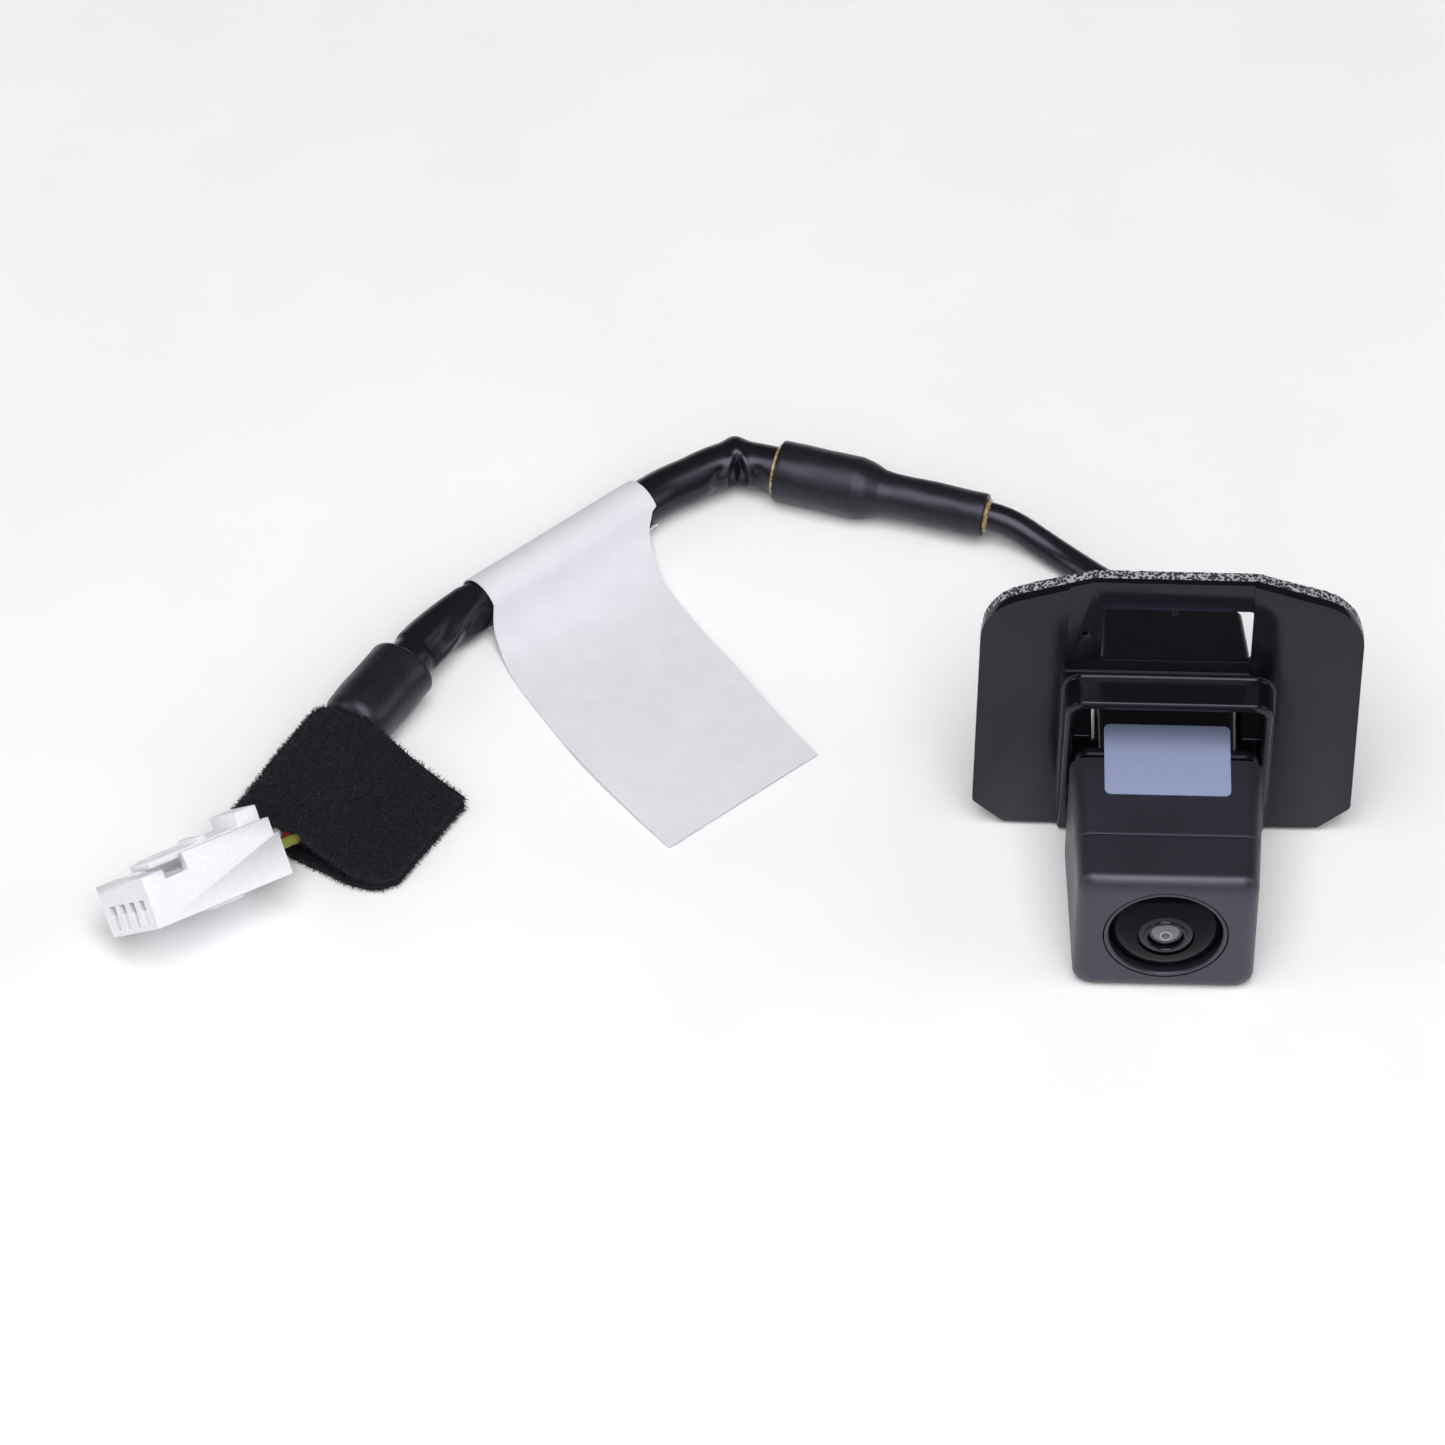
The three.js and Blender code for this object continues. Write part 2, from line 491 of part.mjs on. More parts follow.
function addEndShrink() {
  const { from, length, direction } = straight(END_SHRINK);
  const { z, radius } = END_SHRINK;
  const profile = [[0, 0], [radius, 0], [radius, length - 1.6], [radius - 0.5, length - 0.5], [radius - 1.4, length], [0, length]];
  piece('end_shrink', turnedAlong(profile, from, direction, z), RUBBER);
  piece('glue_ring_end', glueRing(from, direction.clone().negate(), z, SLEEVE_RADIUS + 0.5), AMBER);
}

function flagLabel() {
  const { from, length, direction } = straight(WRAP);
  const outward = new THREE.Vector3(-direction.y, direction.x, 0);
  const up = new THREE.Vector3(0, 0, 1);
  const place = (out, z, along) => from.clone().addScaledVector(outward, out).addScaledVector(direction, along).setZ(z);
  const entries = [];
  for (let i = 0; i <= WRAP_ANGLES.steps; i += 1) {
    const degrees = WRAP_ANGLES.from + (WRAP_ANGLES.to - WRAP_ANGLES.from) * (i / WRAP_ANGLES.steps);
    const angle = THREE.MathUtils.degToRad(degrees);
    const [out, z] = [WRAP.radius * Math.cos(angle), WRAP.z + WRAP.radius * Math.sin(angle)];
    const normal = outward.clone().multiplyScalar(Math.cos(angle)).addScaledVector(up, Math.sin(angle));
    entries.push([place(out, z, 0), place(out, z, length), normal]);
  }
  const lastWrap = [WRAP.radius * Math.cos(THREE.MathUtils.degToRad(WRAP_ANGLES.to)),
    WRAP.z + WRAP.radius * Math.sin(THREE.MathUtils.degToRad(WRAP_ANGLES.to))];
  const outline = [lastWrap, ...FLAG_PATH];
  FLAG_PATH.forEach(([out, z, edgeA, edgeB], i) => {
    const before = outline[i];
    const after = FLAG_PATH[i + 1] ?? FLAG_PATH[i];
    const [run, rise] = [after[0] - before[0], after[1] - before[1]];
    const normal = outward.clone().multiplyScalar(-rise).addScaledVector(up, run).normalize();
    entries.push([place(out, z, edgeA), place(out, z, edgeB), normal]);
  });
  return sheetAlong(entries, WRAP.thick);
}

/** The frame of the wires' run from the end shrink: its end, the way along and the way across. */
function wireRun() {
  const { from, length, direction } = straight(END_SHRINK);
  const end = from.clone().addScaledVector(direction, length);
  return { end, along: direction, across: new THREE.Vector3(-direction.y, direction.x, 0) };
}

function loopTape() {
  const { end, along, across } = wireRun();
  const place = (out, z, run) => end.clone().addScaledVector(along, run).addScaledVector(across, out + TAPE.foldOffset).setZ(z);
  const entries = TAPE_PATH.map(([out, z, width], i) => {
    const before = TAPE_PATH[Math.max(i - 1, 0)];
    const after = TAPE_PATH[Math.min(i + 1, TAPE_PATH.length - 1)];
    const normal = across.clone().multiplyScalar(-(after[1] - before[1]));
    normal.setZ(after[0] - before[0]).normalize();
    return [place(out, z, TAPE.start), place(out, z, TAPE.start + width), normal];
  });
  return sheetAlong(entries, TAPE.thick);
}

function connectorAxes() {
  const forward = vector(CONNECTOR.forward).normalize();
  const across = vector(CONNECTOR.across);
  across.addScaledVector(forward, -across.dot(forward)).normalize();
  return { forward, across, up: forward.clone().cross(across), origin: vector(CONNECTOR.place) };
}

/** The sideways place of each way of the connector, from one side to the other. */
const wayOffsets = (pitch) => Array.from({ length: CONNECTOR.ways }, (_, i) => (i - (CONNECTOR.ways - 1) / 2) * pitch);

function addWires() {
  const { end, along, across } = wireRun();
  const { forward, across: row, origin } = connectorAxes();
  const atPitch = wayOffsets(CONNECTOR.pitch);
  wayOffsets(WIRE.bundlePitch).forEach((offset, i) => {
    const run = (distance, drift, z) => end.clone().addScaledVector(along, distance)
      .addScaledVector(across, drift + offset).setZ(z);
    const entry = (distance, spread) => origin.clone().addScaledVector(forward, -distance)
      .addScaledVector(row, atPitch[i] * spread);
    const points = [run(FACE_GAP, 0, 4.5), run(3, 0.1, 4.5), run(11, 0.9, 4.7), run(19.5, 2.1, 5.2), entry(3.2, 0.82), entry(FACE_GAP, 1)];
    piece(`wire_${i + 1}`, tube(points.map((p) => p.toArray()), WIRE.radius, 14), finish(WIRE_COLOURS[i], 0.45));
  });
}

// ---------- connector ----------
function connectorHousing() {
  const { half, length, low, high, cavity, pitch } = CONNECTOR;
  let body = block(-half, half, 0, length, low, high);
  for (const side of [-1, 1]) {
    const [x0, x1] = [side * 4.5, side * half].sort((a, b) => a - b);
    body = body.add(block(x0, x1, 0.8, 15.5, high - 0.2, 4.4));
  }
  body = body.add(block(-half, half, LATCH.pivot + 0.9, length, high - 0.2, 3.3));
  for (const x of wayOffsets(pitch)) {
    const open = cavity / 2;
    body = body.subtract(block(x - open, x + open, 2.5, length - 1.2, -open - 0.4, open - 0.4));
    body = body.subtract(block(x - 0.7, x + 0.7, length - 2, length + 1, -1.1, 0.3));
    body = body.subtract(block(x - 0.35, x + 0.35, length - 1.2, length + 1, -3.2, -1.0));
    body = body.subtract(rodAlongY(0.9, -1, 3, x, -0.4, 10));
  }
  const { half: across, rear, front, high: seat, gap } = RETAINER;
  return body.subtract(block(-across - gap, across + gap, rear - gap, front + gap, low - 1, seat + gap));
}

function latchArm() {
  const { half, rear, pivot, low, high, padRear, padHigh, padHalf } = LATCH;
  let body = block(-half, half, rear, pivot + 0.5, low, high);
  body = body.add(block(-padHalf, padHalf, rear, padRear, low, high)).add(block(-padHalf, padHalf, rear, padRear - 1, low, padHigh));
  body = body.add(block(-half, half, 9.0, 10.6, high - 0.1, high + 0.7));
  return body.subtract(block(-0.5, 0.5, 6.2, 8.2, low - 1, high + 1));
}

function addConnector() {
  const { forward, across, up, origin } = connectorAxes();
  const frame = new THREE.Group();
  frame.setRotationFromMatrix(new THREE.Matrix4().makeBasis(across.clone().negate(), forward, up));
  frame.position.copy(origin);
  group.add(frame);
  piece('connector_housing', connectorHousing(), NYLON, frame);
  piece('latch_arm', latchArm(), NYLON, frame);
  const { half, rear, front, low, high } = RETAINER;
  piece('terminal_retainer', block(-half, half, rear, front, low, high), NYLON, frame);
  wayOffsets(CONNECTOR.pitch).forEach((x, i) => {
    piece(`terminal_${i + 1}`, block(x - 0.6, x + 0.6, 4, 20.5, -1.0, 0.2), BRASS, frame);
  });
}

// ---------- assembly ----------
piece('bracket', bracket(), GLOSS_BLACK);
piece('foam_gasket', foamGasket(), FOAM_BLACK);
bothSides((side) => piece(side < 0 ? 'bracket_screw_left' : 'bracket_screw_right', bracketScrew(side), STEEL));
piece('front_housing', frontHousing(), MATTE_BLACK);
piece('rear_housing', rearHousing(), GLOSS_BLACK);
piece('housing_seal', housingSeal(), RUBBER);
for (const [place, z] of [['lower', SCREW_HOLE.low], ['upper', SCREW_HOLE.high]]) {
  bothSides((side) => piece(`housing_screw_${place}_${side < 0 ? 'left' : 'right'}`, housingScrew(side * SCREW_HOLE.x, z), STEEL));
}
piece('top_label', topLabel(), LABEL_BLUE);
addOptics();
piece('rear_boot', rearBoot(), RUBBER);
piece('cable_grommet', cableGrommet(), RUBBER);
piece('camera_cable', tube(CABLE_ROUTE, CABLE_RADIUS, 16), RUBBER);
addSplice();
piece('harness_sleeve', tube(SLEEVE_ROUTE, SLEEVE_RADIUS, 24, 12), GLOSS_BLACK);
piece('flag_label', flagLabel(), PAPER);
addEndShrink();
addWires();
piece('loop_tape', loopTape(), TAPE_BLACK);
addConnector();

export default group;
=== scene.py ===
"""Look model of a reversing camera: hooded mounting plate, camera box, lens, and its pigtail with a plug.

Every size is in millimetres in the part's own frame: the lens looks along -Y, +Z is up, and z = 0 is the
surface that the camera stands on. Depths count back from the front face of the camera box.
"""

import logging
import math
from dataclasses import dataclass, field
from enum import Enum
from typing import Callable, Sequence

import bmesh
import bpy
from mathutils import Matrix, Vector, noise


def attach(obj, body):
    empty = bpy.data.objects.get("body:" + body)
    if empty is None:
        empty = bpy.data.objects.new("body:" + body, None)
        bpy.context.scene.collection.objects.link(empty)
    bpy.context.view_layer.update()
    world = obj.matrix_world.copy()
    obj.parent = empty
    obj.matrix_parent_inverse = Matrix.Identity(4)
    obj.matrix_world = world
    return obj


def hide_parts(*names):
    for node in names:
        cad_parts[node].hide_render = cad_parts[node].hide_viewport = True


MM = 0.001
FRONT_Y = -27.8
LENS_HEIGHT = 10.9
CABLE_HEIGHT = 10.5
CREASE_DEGREES = 34.0
UP = Vector((0.0, 0.0, 1.0))
LOG = logging.getLogger("reversing_camera")

Point = tuple[float, float, float]
Corner = tuple[float, float, float]
Outline = list[tuple[float, float]]
Ring = list[Vector]


def depth(back: float) -> float:
    """Returns the y, in millimetres, of a plane that far behind the box's front face."""
    return FRONT_Y + back


# ---------- finishes ----------


class Texture(Enum):
    """The kinds of surface that a finish may have."""

    GRAIN = "grain"
    PORES = "pores"
    FIBRES = "fibres"


@dataclass(frozen=True)
class Finish:
    """One real material: its colours, its gloss and the size and height of its texture in millimetres."""

    name: str
    colour: str
    second: str
    roughness: float
    grain: float
    relief: float
    spread: float = 0.08
    metallic: float = 0.0
    ior: float = 1.5
    tint: str = "e6e4ff"
    coat: float = 0.0
    sheen: float = 0.0
    transmission: float = 0.0
    texture: Texture = Texture.GRAIN
    stretch: Point = (1.0, 1.0, 1.0)
    band: tuple[float, float] = (0.35, 0.7)
    blotch: float = 9.0

    def material(self) -> bpy.types.Material:
        """Builds the material once, and returns it.

        Returns:
            The material, named for this finish.
        """
        known = bpy.data.materials.get(self.name)
        if known:
            return known
        made = bpy.data.materials.new(self.name)
        made.use_nodes = True
        tree = made.node_tree
        tree.nodes.clear()
        place = add_node(tree, "ShaderNodeTexCoord").outputs["Object"]
        turned = add_node(tree, "ShaderNodeMapping", inputs={"Vector": place, "Scale": self.stretch})
        fine = self._texture(tree, turned.outputs["Vector"])
        broad = add_node(
            tree,
            "ShaderNodeTexNoise",
            inputs={"Vector": place, "Scale": 1 / (self.blotch * MM), "Detail": 2.0},
        )
        share = add_node(
            tree,
            "ShaderNodeMapRange",
            {"interpolation_type": "SMOOTHSTEP"},
            {"Value": fine, "From Min": self.band[0], "From Max": self.band[1]},
        )
        colour = add_node(
            tree,
            "ShaderNodeMix",
            {"data_type": "RGBA"},
            {"Factor": share.outputs[0], "A": linear(self.colour), "B": linear(self.second)},
        )
        gloss = add_node(
            tree,
            "ShaderNodeMapRange",
            inputs={
                "Value": broad.outputs["Fac"],
                "From Min": 0.3,
                "From Max": 0.7,
                "To Min": self.roughness - self.spread / 2,
                "To Max": self.roughness + self.spread / 2,
            },
        )
        raised = add_node(
            tree, "ShaderNodeBump", inputs={"Height": fine, "Strength": 0.6, "Distance": self.relief * MM}
        )
        shader = add_node(
            tree,
            "ShaderNodeBsdfPrincipled",
            inputs={
                "Base Color": colour.outputs["Result"],
                "Roughness": gloss.outputs[0],
                "Normal": raised.outputs["Normal"],
                "Metallic": self.metallic,
                "IOR": self.ior,
                "Specular Tint": linear(self.tint),
                "Coat Weight": self.coat,
                "Sheen Weight": self.sheen,
                "Transmission Weight": self.transmission,
            },
        )
        add_node(tree, "ShaderNodeOutputMaterial", inputs={"Surface": shader.outputs["BSDF"]})
        return made

    def _texture(self, tree: bpy.types.NodeTree, place: bpy.types.NodeSocket) -> bpy.types.NodeSocket:
        """Adds the texture's node.

        Args:
            tree: the material's tree.
            place: the coordinates to read.

        Returns:
            The height and colour share of the texture, from 0 to 1.
        """
        scale = 1 / (self.grain * MM)
        if self.texture is Texture.PORES:
            cells = add_node(tree, "ShaderNodeTexVoronoi", inputs={"Vector": place, "Scale": scale})
            return cells.outputs["Distance"]
        detail = 6.0 if self.texture is Texture.FIBRES else 3.0
        grains = add_node(
            tree,
            "ShaderNodeTexNoise",
            inputs={"Vector": place, "Scale": scale, "Detail": detail, "Roughness": 0.62},
        )
        return grains.outputs["Fac"]


@dataclass(frozen=True)
class PaintedLensFinish:
    """A coated front lens whose colour is painted light and shade: painted shade in the pupil, a painted
    highlight ring, and the steps of the barrel behind it painted as lit grey rings about its axis.
    """

    name: str
    rings: tuple[tuple[float, str], ...]
    radius: float

    def material(self) -> bpy.types.Material:
        """Builds the glass with its painted rings of light and shade.

        Returns:
            The material, whose colour follows the distance from the lens axis.
        """
        made = bpy.data.materials.new(self.name)
        made.use_nodes = True
        tree = made.node_tree
        tree.nodes.clear()
        place = add_node(tree, "ShaderNodeTexCoord").outputs["Object"]
        flat = add_node(
            tree,
            "ShaderNodeMapping",
            inputs={
                "Vector": place,
                "Location": (0.0, 0.0, -LENS_HEIGHT / self.radius),
                "Scale": (1 / (self.radius * MM), 0.0, 1 / (self.radius * MM)),
            },
        )
        reach = add_node(tree, "ShaderNodeVectorMath", {"operation": "LENGTH"}, {0: flat.outputs["Vector"]})
        # Painted light and shade: these ring colours stand in for the pupil's shade, a highlight ring and the
        # lit barrel seen through the glass.
        painted_bands = add_node(tree, "ShaderNodeValToRGB", inputs={"Fac": reach.outputs["Value"]})
        stops = painted_bands.color_ramp.elements
        while len(stops) < len(self.rings):
            stops.new(0.5)
        for stop, (at, colour) in zip(stops, self.rings):
            stop.position = at
            stop.color = linear(colour)
        shader = add_node(
            tree,
            "ShaderNodeBsdfPrincipled",
            inputs={
                "Base Color": painted_bands.outputs["Color"],
                "Roughness": 0.06,
                "IOR": 1.6,
                "Coat Weight": 1.0,
                "Coat Roughness": 0.02,
            },
        )
        add_node(tree, "ShaderNodeOutputMaterial", inputs={"Surface": shader.outputs["BSDF"]})
        return made


def linear(code: str) -> tuple[float, float, float, float]:
    """Turns an sRGB hex colour into linear light.

    Args:
        code: six hex digits.

    Returns:
        Red, green, blue and an alpha of 1.
    """
    parts = [int(code[i : i + 2], 16) / 255 for i in (0, 2, 4)]
    light = [c / 12.92 if c <= 0.04045 else ((c + 0.055) / 1.055) ** 2.4 for c in parts]
    return (light[0], light[1], light[2], 1.0)


def add_node(
    tree: bpy.types.NodeTree, kind: str, settings: dict | None = None, inputs: dict | None = None
) -> bpy.types.Node:
    """Adds a node with its settings, values and links.

    Args:
        tree: the tree that the node goes into.
        kind: the node's type.
        settings: its properties by name.
        inputs: its inputs by name or number, each a value or another node's output.

    Returns:
        The new node.
    """
    made = tree.nodes.new(kind)
    for name, value in (settings or {}).items():
        setattr(made, name, value)
    for key, value in (inputs or {}).items():
        socket = made.inputs[key]
        if kind == "ShaderNodeMix" and key in ("A", "B"):
            socket = next(s for s in made.inputs if s.name == key and s.type == "RGBA")
        if isinstance(value, bpy.types.NodeSocket):
            tree.links.new(value, socket)
        else:
            socket.default_value = value
    return made


# Moulded ABS from a polished tool: near black, and mirror-like with faint flow marks.
ABS_GLOSS = Finish("polished_moulded_abs", "0c0c10", "101015", 0.16, 0.9, 0.002, ior=1.43)
# Moulded ABS from a spark-eroded tool: fine even grain that spreads each reflection into a violet-grey haze.
ABS_GRAINED = Finish("spark_grained_abs", "16161c", "1f1f26", 0.46, 0.22, 0.012, spread=0.06, ior=1.8)
# Grey open-cell foam with no gloss at all: pale cell walls in the foam's own grey, round pores darkened with
# painted shade.
FOAM_PAINTED_PORE_SHADE = Finish(
    "open_cell_foam",
    "26262a",
    "a8a8ae",
    0.95,
    0.42,
    0.12,
    texture=Texture.PORES,
    band=(0.42, 0.7),
    blotch=3.0,
)
# Overmoulded rubber: satin black.
RUBBER = Finish("overmoulded_rubber", "0b0b0f", "111116", 0.38, 0.5, 0.006, ior=1.42)
# Extruded PVC jacket: satin, with faint lines along its length.
CABLE_JACKET = Finish("pvc_cable_jacket", "131318", "1a1a20", 0.3, 0.6, 0.006)
# Extruded PVC tubing: smooth and glossy.
SLEEVE_TUBE = Finish("glossy_pvc_tubing", "101014", "15151a", 0.3, 1.4, 0.002)
# Shrunk polyolefin tubing: dull, with fine wrinkles where it has drawn in.
HEAT_SHRINK = Finish("shrunk_polyolefin_tubing", "16161b", "1e1e24", 0.38, 0.8, 0.02, spread=0.14, blotch=5.0)
# White vinyl film: even and softly glossy.
LABEL_FILM = Finish("white_vinyl_film", "dfdee5", "e3e2e9", 0.42, 4.0, 0.0005)
# Blue-grey polyester film: flat colour with a matte face.
LABEL_BLUE = Finish("blue_grey_polyester_film", "8b93b4", "8d95b6", 0.6, 2.0, 0.0005)
# Brushed fleece tape: black loops with dark grey fibre ends.
FLEECE = Finish(
    "brushed_fleece_tape",
    "08070a",
    "26242b",
    0.95,
    0.3,
    0.2,
    sheen=0.08,
    texture=Texture.FIBRES,
    band=(0.45, 0.68),
)
# Natural nylon moulding: white, a little waxy.
NYLON = Finish("natural_nylon", "ebeaee", "f1f0f3", 0.38, 0.7, 0.004)
# Set hot-melt glue: amber and wet looking, brown where it is thick.
HOT_MELT = Finish("set_hot_melt_glue", "7d6138", "cdb78a", 0.22, 0.8, 0.04, coat=0.4)
# Black anodised aluminium: grey-black with a soft shine.
ANODISED = Finish("black_anodised_aluminium", "202027", "292931", 0.34, 0.3, 0.003, ior=1.7)
# Anti-reflection coated outer glass over a blackened barrel: it only shines where it is seen edge on.
LENS_BLACK = Finish("coated_outer_glass", "07080b", "0a0b0f", 0.12, 1.2, 0.0002, spread=0.04, ior=1.2)
# Black-painted collar: satin.
COLLAR = Finish("black_painted_collar", "08090c", "0d0e12", 0.22, 1.2, 0.001, ior=1.5)
# Zinc-plated steel: bright and cool.
ZINC = Finish("zinc_plated_steel", "b4b6bc", "9a9ca3", 0.28, 0.25, 0.004, metallic=1.0)
# Glass of the inner lenses: clear, with a coating's tint.
INNER_GLASS = Finish("inner_lens_glass", "c9cfe6", "c2c9e2", 0.05, 1.0, 0.0005, spread=0.02, transmission=1.0)
# Glass-filled epoxy board under green solder mask.
BOARD = Finish("green_solder_mask", "1d4b2e", "235736", 0.35, 0.4, 0.006)
# Epoxy moulding compound of the chips.
CHIP = Finish("chip_moulding_compound", "1f1f22", "29292c", 0.55, 0.2, 0.006)
# Tinned brass contacts.
TINNED_BRASS = Finish("tinned_brass", "c8b98e", "b3a272", 0.3, 0.4, 0.004, metallic=1.0)
# Extruded insulation of the four wires.
WIRE_FINISHES = (
    Finish("black_wire_insulation", "1b1b1d", "232326", 0.36, 0.5, 0.003),
    Finish("grey_wire_insulation", "b4b4b0", "bebeb9", 0.36, 0.5, 0.003),
    Finish("red_wire_insulation", "7d2624", "8a2f2c", 0.36, 0.5, 0.003),
    Finish("olive_wire_insulation", "777a30", "82853a", 0.36, 0.5, 0.003),
)
# Coated front lens, painted light and shade: a pupil darkened with painted shade, a painted highlight ring
# round it, then the grey cone of the barrel painted in as it looks lit through the glass.
FRONT_LENS_PAINTED_RINGS = PaintedLensFinish(
    "coated_front_lens",
    (
        (0.0, "15161b"),
        (0.25, "1b1c22"),
        (0.3, "b2b4c0"),
        (0.37, "4c4e58"),
        (0.7, "646670"),
        (0.9, "83858f"),
        (1.0, "33353c"),
    ),
    2.4,
)


# ---------- mesh helpers ----------


def settle(mesh: bpy.types.Mesh, crease: float = CREASE_DEGREES) -> None:
    """Merges doubled points, turns the faces outwards and shades the mesh smooth up to its creases.

    Args:
        mesh: the mesh to finish.
        crease: the angle in degrees past which an edge stays sharp.
    """
    work = bmesh.new()
    work.from_mesh(mesh)
    bmesh.ops.remove_doubles(work, verts=work.verts, dist=1e-7)
    bmesh.ops.recalc_face_normals(work, faces=work.faces)
    work.to_mesh(mesh)
    work.free()
    mesh.shade_smooth()
    mesh.set_sharp_from_angle(angle=math.radians(crease))


def shape(name: str, points: Sequence[Sequence[float]], faces: Sequence[tuple[int, ...]]) -> bpy.types.Object:
    """Makes an object from points in millimetres.

    Args:
        name: the piece's name.
        points: its points.
        faces: its faces, as numbers of points.

    Returns:
        The object, at the origin.
    """
    mesh = bpy.data.meshes.new(name)
    mesh.from_pydata([tuple(c * MM for c in p) for p in points], [], [tuple(f) for f in faces])
    settle(mesh)
    made = bpy.data.objects.new(name, mesh)
    bpy.context.collection.objects.link(made)
    return made


def grid(rows: int, columns: int, close_rows: bool, close_columns: bool) -> list[tuple[int, ...]]:
    """Lists the faces of a net of points.

    Args:
        rows: how many rows of points there are.
        columns: how many points a row has.
        close_rows: whether the last row joins the first.
        close_columns: whether a row's last point joins its first.

    Returns:
        Four-sided faces.
    """
    faces = []
    for r in range(rows if close_rows else rows - 1):
        for c in range(columns if close_columns else columns - 1):
            near, far = r * columns, ((r + 1) % rows) * columns
            nxt = (c + 1) % columns
            faces.append((near + c, near + nxt, far + nxt, far + c))
    return faces


def loft(name: str, rings: Sequence[Sequence[Sequence[float]]], closed: bool = False) -> bpy.types.Object:
    """Skins a row of rings that have the same number of points.

    Args:
        name: the piece's name.
        rings: the rings, in order.
        closed: whether the last ring joins the first, instead of both being capped.

    Returns:
        The closed piece.
    """
    count = len(rings[0])
    faces = grid(len(rings), count, closed, True)
    if not closed:
        last = (len(rings) - 1) * count
        faces += [tuple(range(count)), tuple(range(last, last + count))]
    return shape(name, [p for ring in rings for p in ring], faces)


def lathe(
    name: str, profile: Sequence[tuple[float, float]], centre: Point, axis: Vector, steps: int = 96
) -> bpy.types.Object:
    """Turns a profile about an axis.

    Args:
        name: the piece's name.
        profile: pairs of radius and distance along the axis; it closes on itself or ends on the axis.
        centre: the axis's start.
        axis: the axis's direction.
        steps: how many steps make the round.

    Returns:
        The closed piece.
    """
    turn = Vector((0, 0, 1)).rotation_difference(axis)
    rings = []
    for radius, along in profile:
        ring = []
        for i in range(steps):
            angle = math.tau * i / steps
            local = Vector((radius * math.cos(angle), radius * math.sin(angle), along))
            ring.append(Vector(centre) + turn @ local)
        rings.append(ring)
    hollow = profile[0] == profile[-1]
    return loft(name, rings[:-1] if hollow else rings, closed=hollow)


def rounded(profile: Sequence[Corner], steps: int = 5) -> Outline:
    """Rounds the corners of a closed outline.

    Args:
        profile: the corners, each with the radius of its round.
        steps: how many steps make one round.

    Returns:
        The outline's points in order.
    """
    result: Outline = []
    for i, (x, y, radius) in enumerate(profile):
        here = Vector((x, y))
        before = (Vector(profile[i - 1][:2]) - here).normalized()
        after = (Vector(profile[(i + 1) % len(profile)][:2]) - here).normalized()
        half = before.angle(after) / 2
        if radius <= 0 or half > math.pi / 2 - 1e-3:
            result.append((x, y))
            continue
        tangent = radius / math.tan(half)
        centre = here + (before + after).normalized() * (radius / math.sin(half))
        start = here + before * tangent - centre
        sweep = start.angle_signed(here + after * tangent - centre)
        for k in range(steps + 1):
            turned = start.copy()
            turned.rotate(Matrix.Rotation(-sweep * k / steps, 2))
            result.append(tuple(centre + turned))
    return result


def circle(x: float, z: float, radius: float, steps: int = 24) -> Outline:
    """Returns a round outline."""
    turns = [math.tau * i / steps for i in range(steps)]
    return [(x + radius * math.cos(t), z + radius * math.sin(t)) for t in turns]


def evaluated(made: bpy.types.Object, name: str) -> bpy.types.Object:
    """Replaces an object by the plain mesh that its modifiers or curve give.

    Args:
        made: the object to replace.
        name: the new object's name.

    Returns:
        The new object.
    """
    source = made.evaluated_get(bpy.context.evaluated_depsgraph_get())
    mesh = bpy.data.meshes.new_from_object(source)
    old = made.data
    bpy.data.objects.remove(made)
    if old.users == 0 and isinstance(old, bpy.types.Mesh):
        bpy.data.meshes.remove(old)
    mesh.name = name
    result = bpy.data.objects.new(name, mesh)
    bpy.context.collection.objects.link(result)
    return result


def sheet_metal(
    name: str, outlines: Sequence[Outline], near: float, far: float, level: bool = False
) -> bpy.types.Object:
    """Cuts a flat piece with holes out of a board.

    Args:
        name: the piece's name.
        outlines: the outer outline and then the holes.
        near: the front face's y, or the lower face's z when level.
        far: the rear face's y, or the upper face's z when level.
        level: whether the board lies level instead of standing across the lens axis.

    Returns:
        The closed piece.
    """
    curve = bpy.data.curves.new(name, "CURVE")
    curve.dimensions = "2D"
    curve.fill_mode = "BOTH"
    curve.extrude = (far - near) / 2
    for outline in outlines:
        spline = curve.splines.new("POLY")
        spline.points.add(len(outline) - 1)
        for point, (x, y) in zip(spline.points, outline):
            point.co = (x, y, 0.0, 1.0)
        spline.use_cyclic_u = True
    board = bpy.data.objects.new(name, curve)
    bpy.context.collection.objects.link(board)
    made = evaluated(board, name)
    middle = (near + far) / 2
    if level:
        made.data.transform(Matrix.Translation((0, 0, middle)))
    else:
        made.data.transform(Matrix.Translation((0, middle, 0)) @ Matrix.Rotation(math.pi / 2, 4, "X"))
    made.data.transform(Matrix.Scale(MM, 4))
    settle(made.data)
    return made


def box(name: str, low: Sequence[float], high: Sequence[float]) -> bpy.types.Object:
    """Makes a plain block between two corners, for joining, cutting or rounding.

    Args:
        name: the piece's name.
        low: its lowest corner.
        high: its highest corner.

    Returns:
        The block.
    """
    points = [[(low, high)[(i >> axis) & 1][axis] for axis in range(3)] for i in range(8)]
    faces = [(0, 2, 3, 1), (4, 5, 7, 6), (0, 1, 5, 4), (2, 6, 7, 3), (0, 4, 6, 2), (1, 3, 7, 5)]
    return shape(name, points, faces)


def combine(base: bpy.types.Object, tool: bpy.types.Object, operation: str) -> bpy.types.Object:
    """Joins or cuts one piece with another, which is used up.

    Args:
        base: the piece that stays.
        tool: the piece that cuts or joins.
        operation: UNION or DIFFERENCE.

    Returns:
        The combined piece.
    """
    name = base.name
    step = base.modifiers.new("combine", "BOOLEAN")
    step.operation, step.object, step.solver = operation, tool, "EXACT"
    result = evaluated(base, name)
    bpy.data.objects.remove(tool)
    settle(result.data)
    result.name = name
    return result


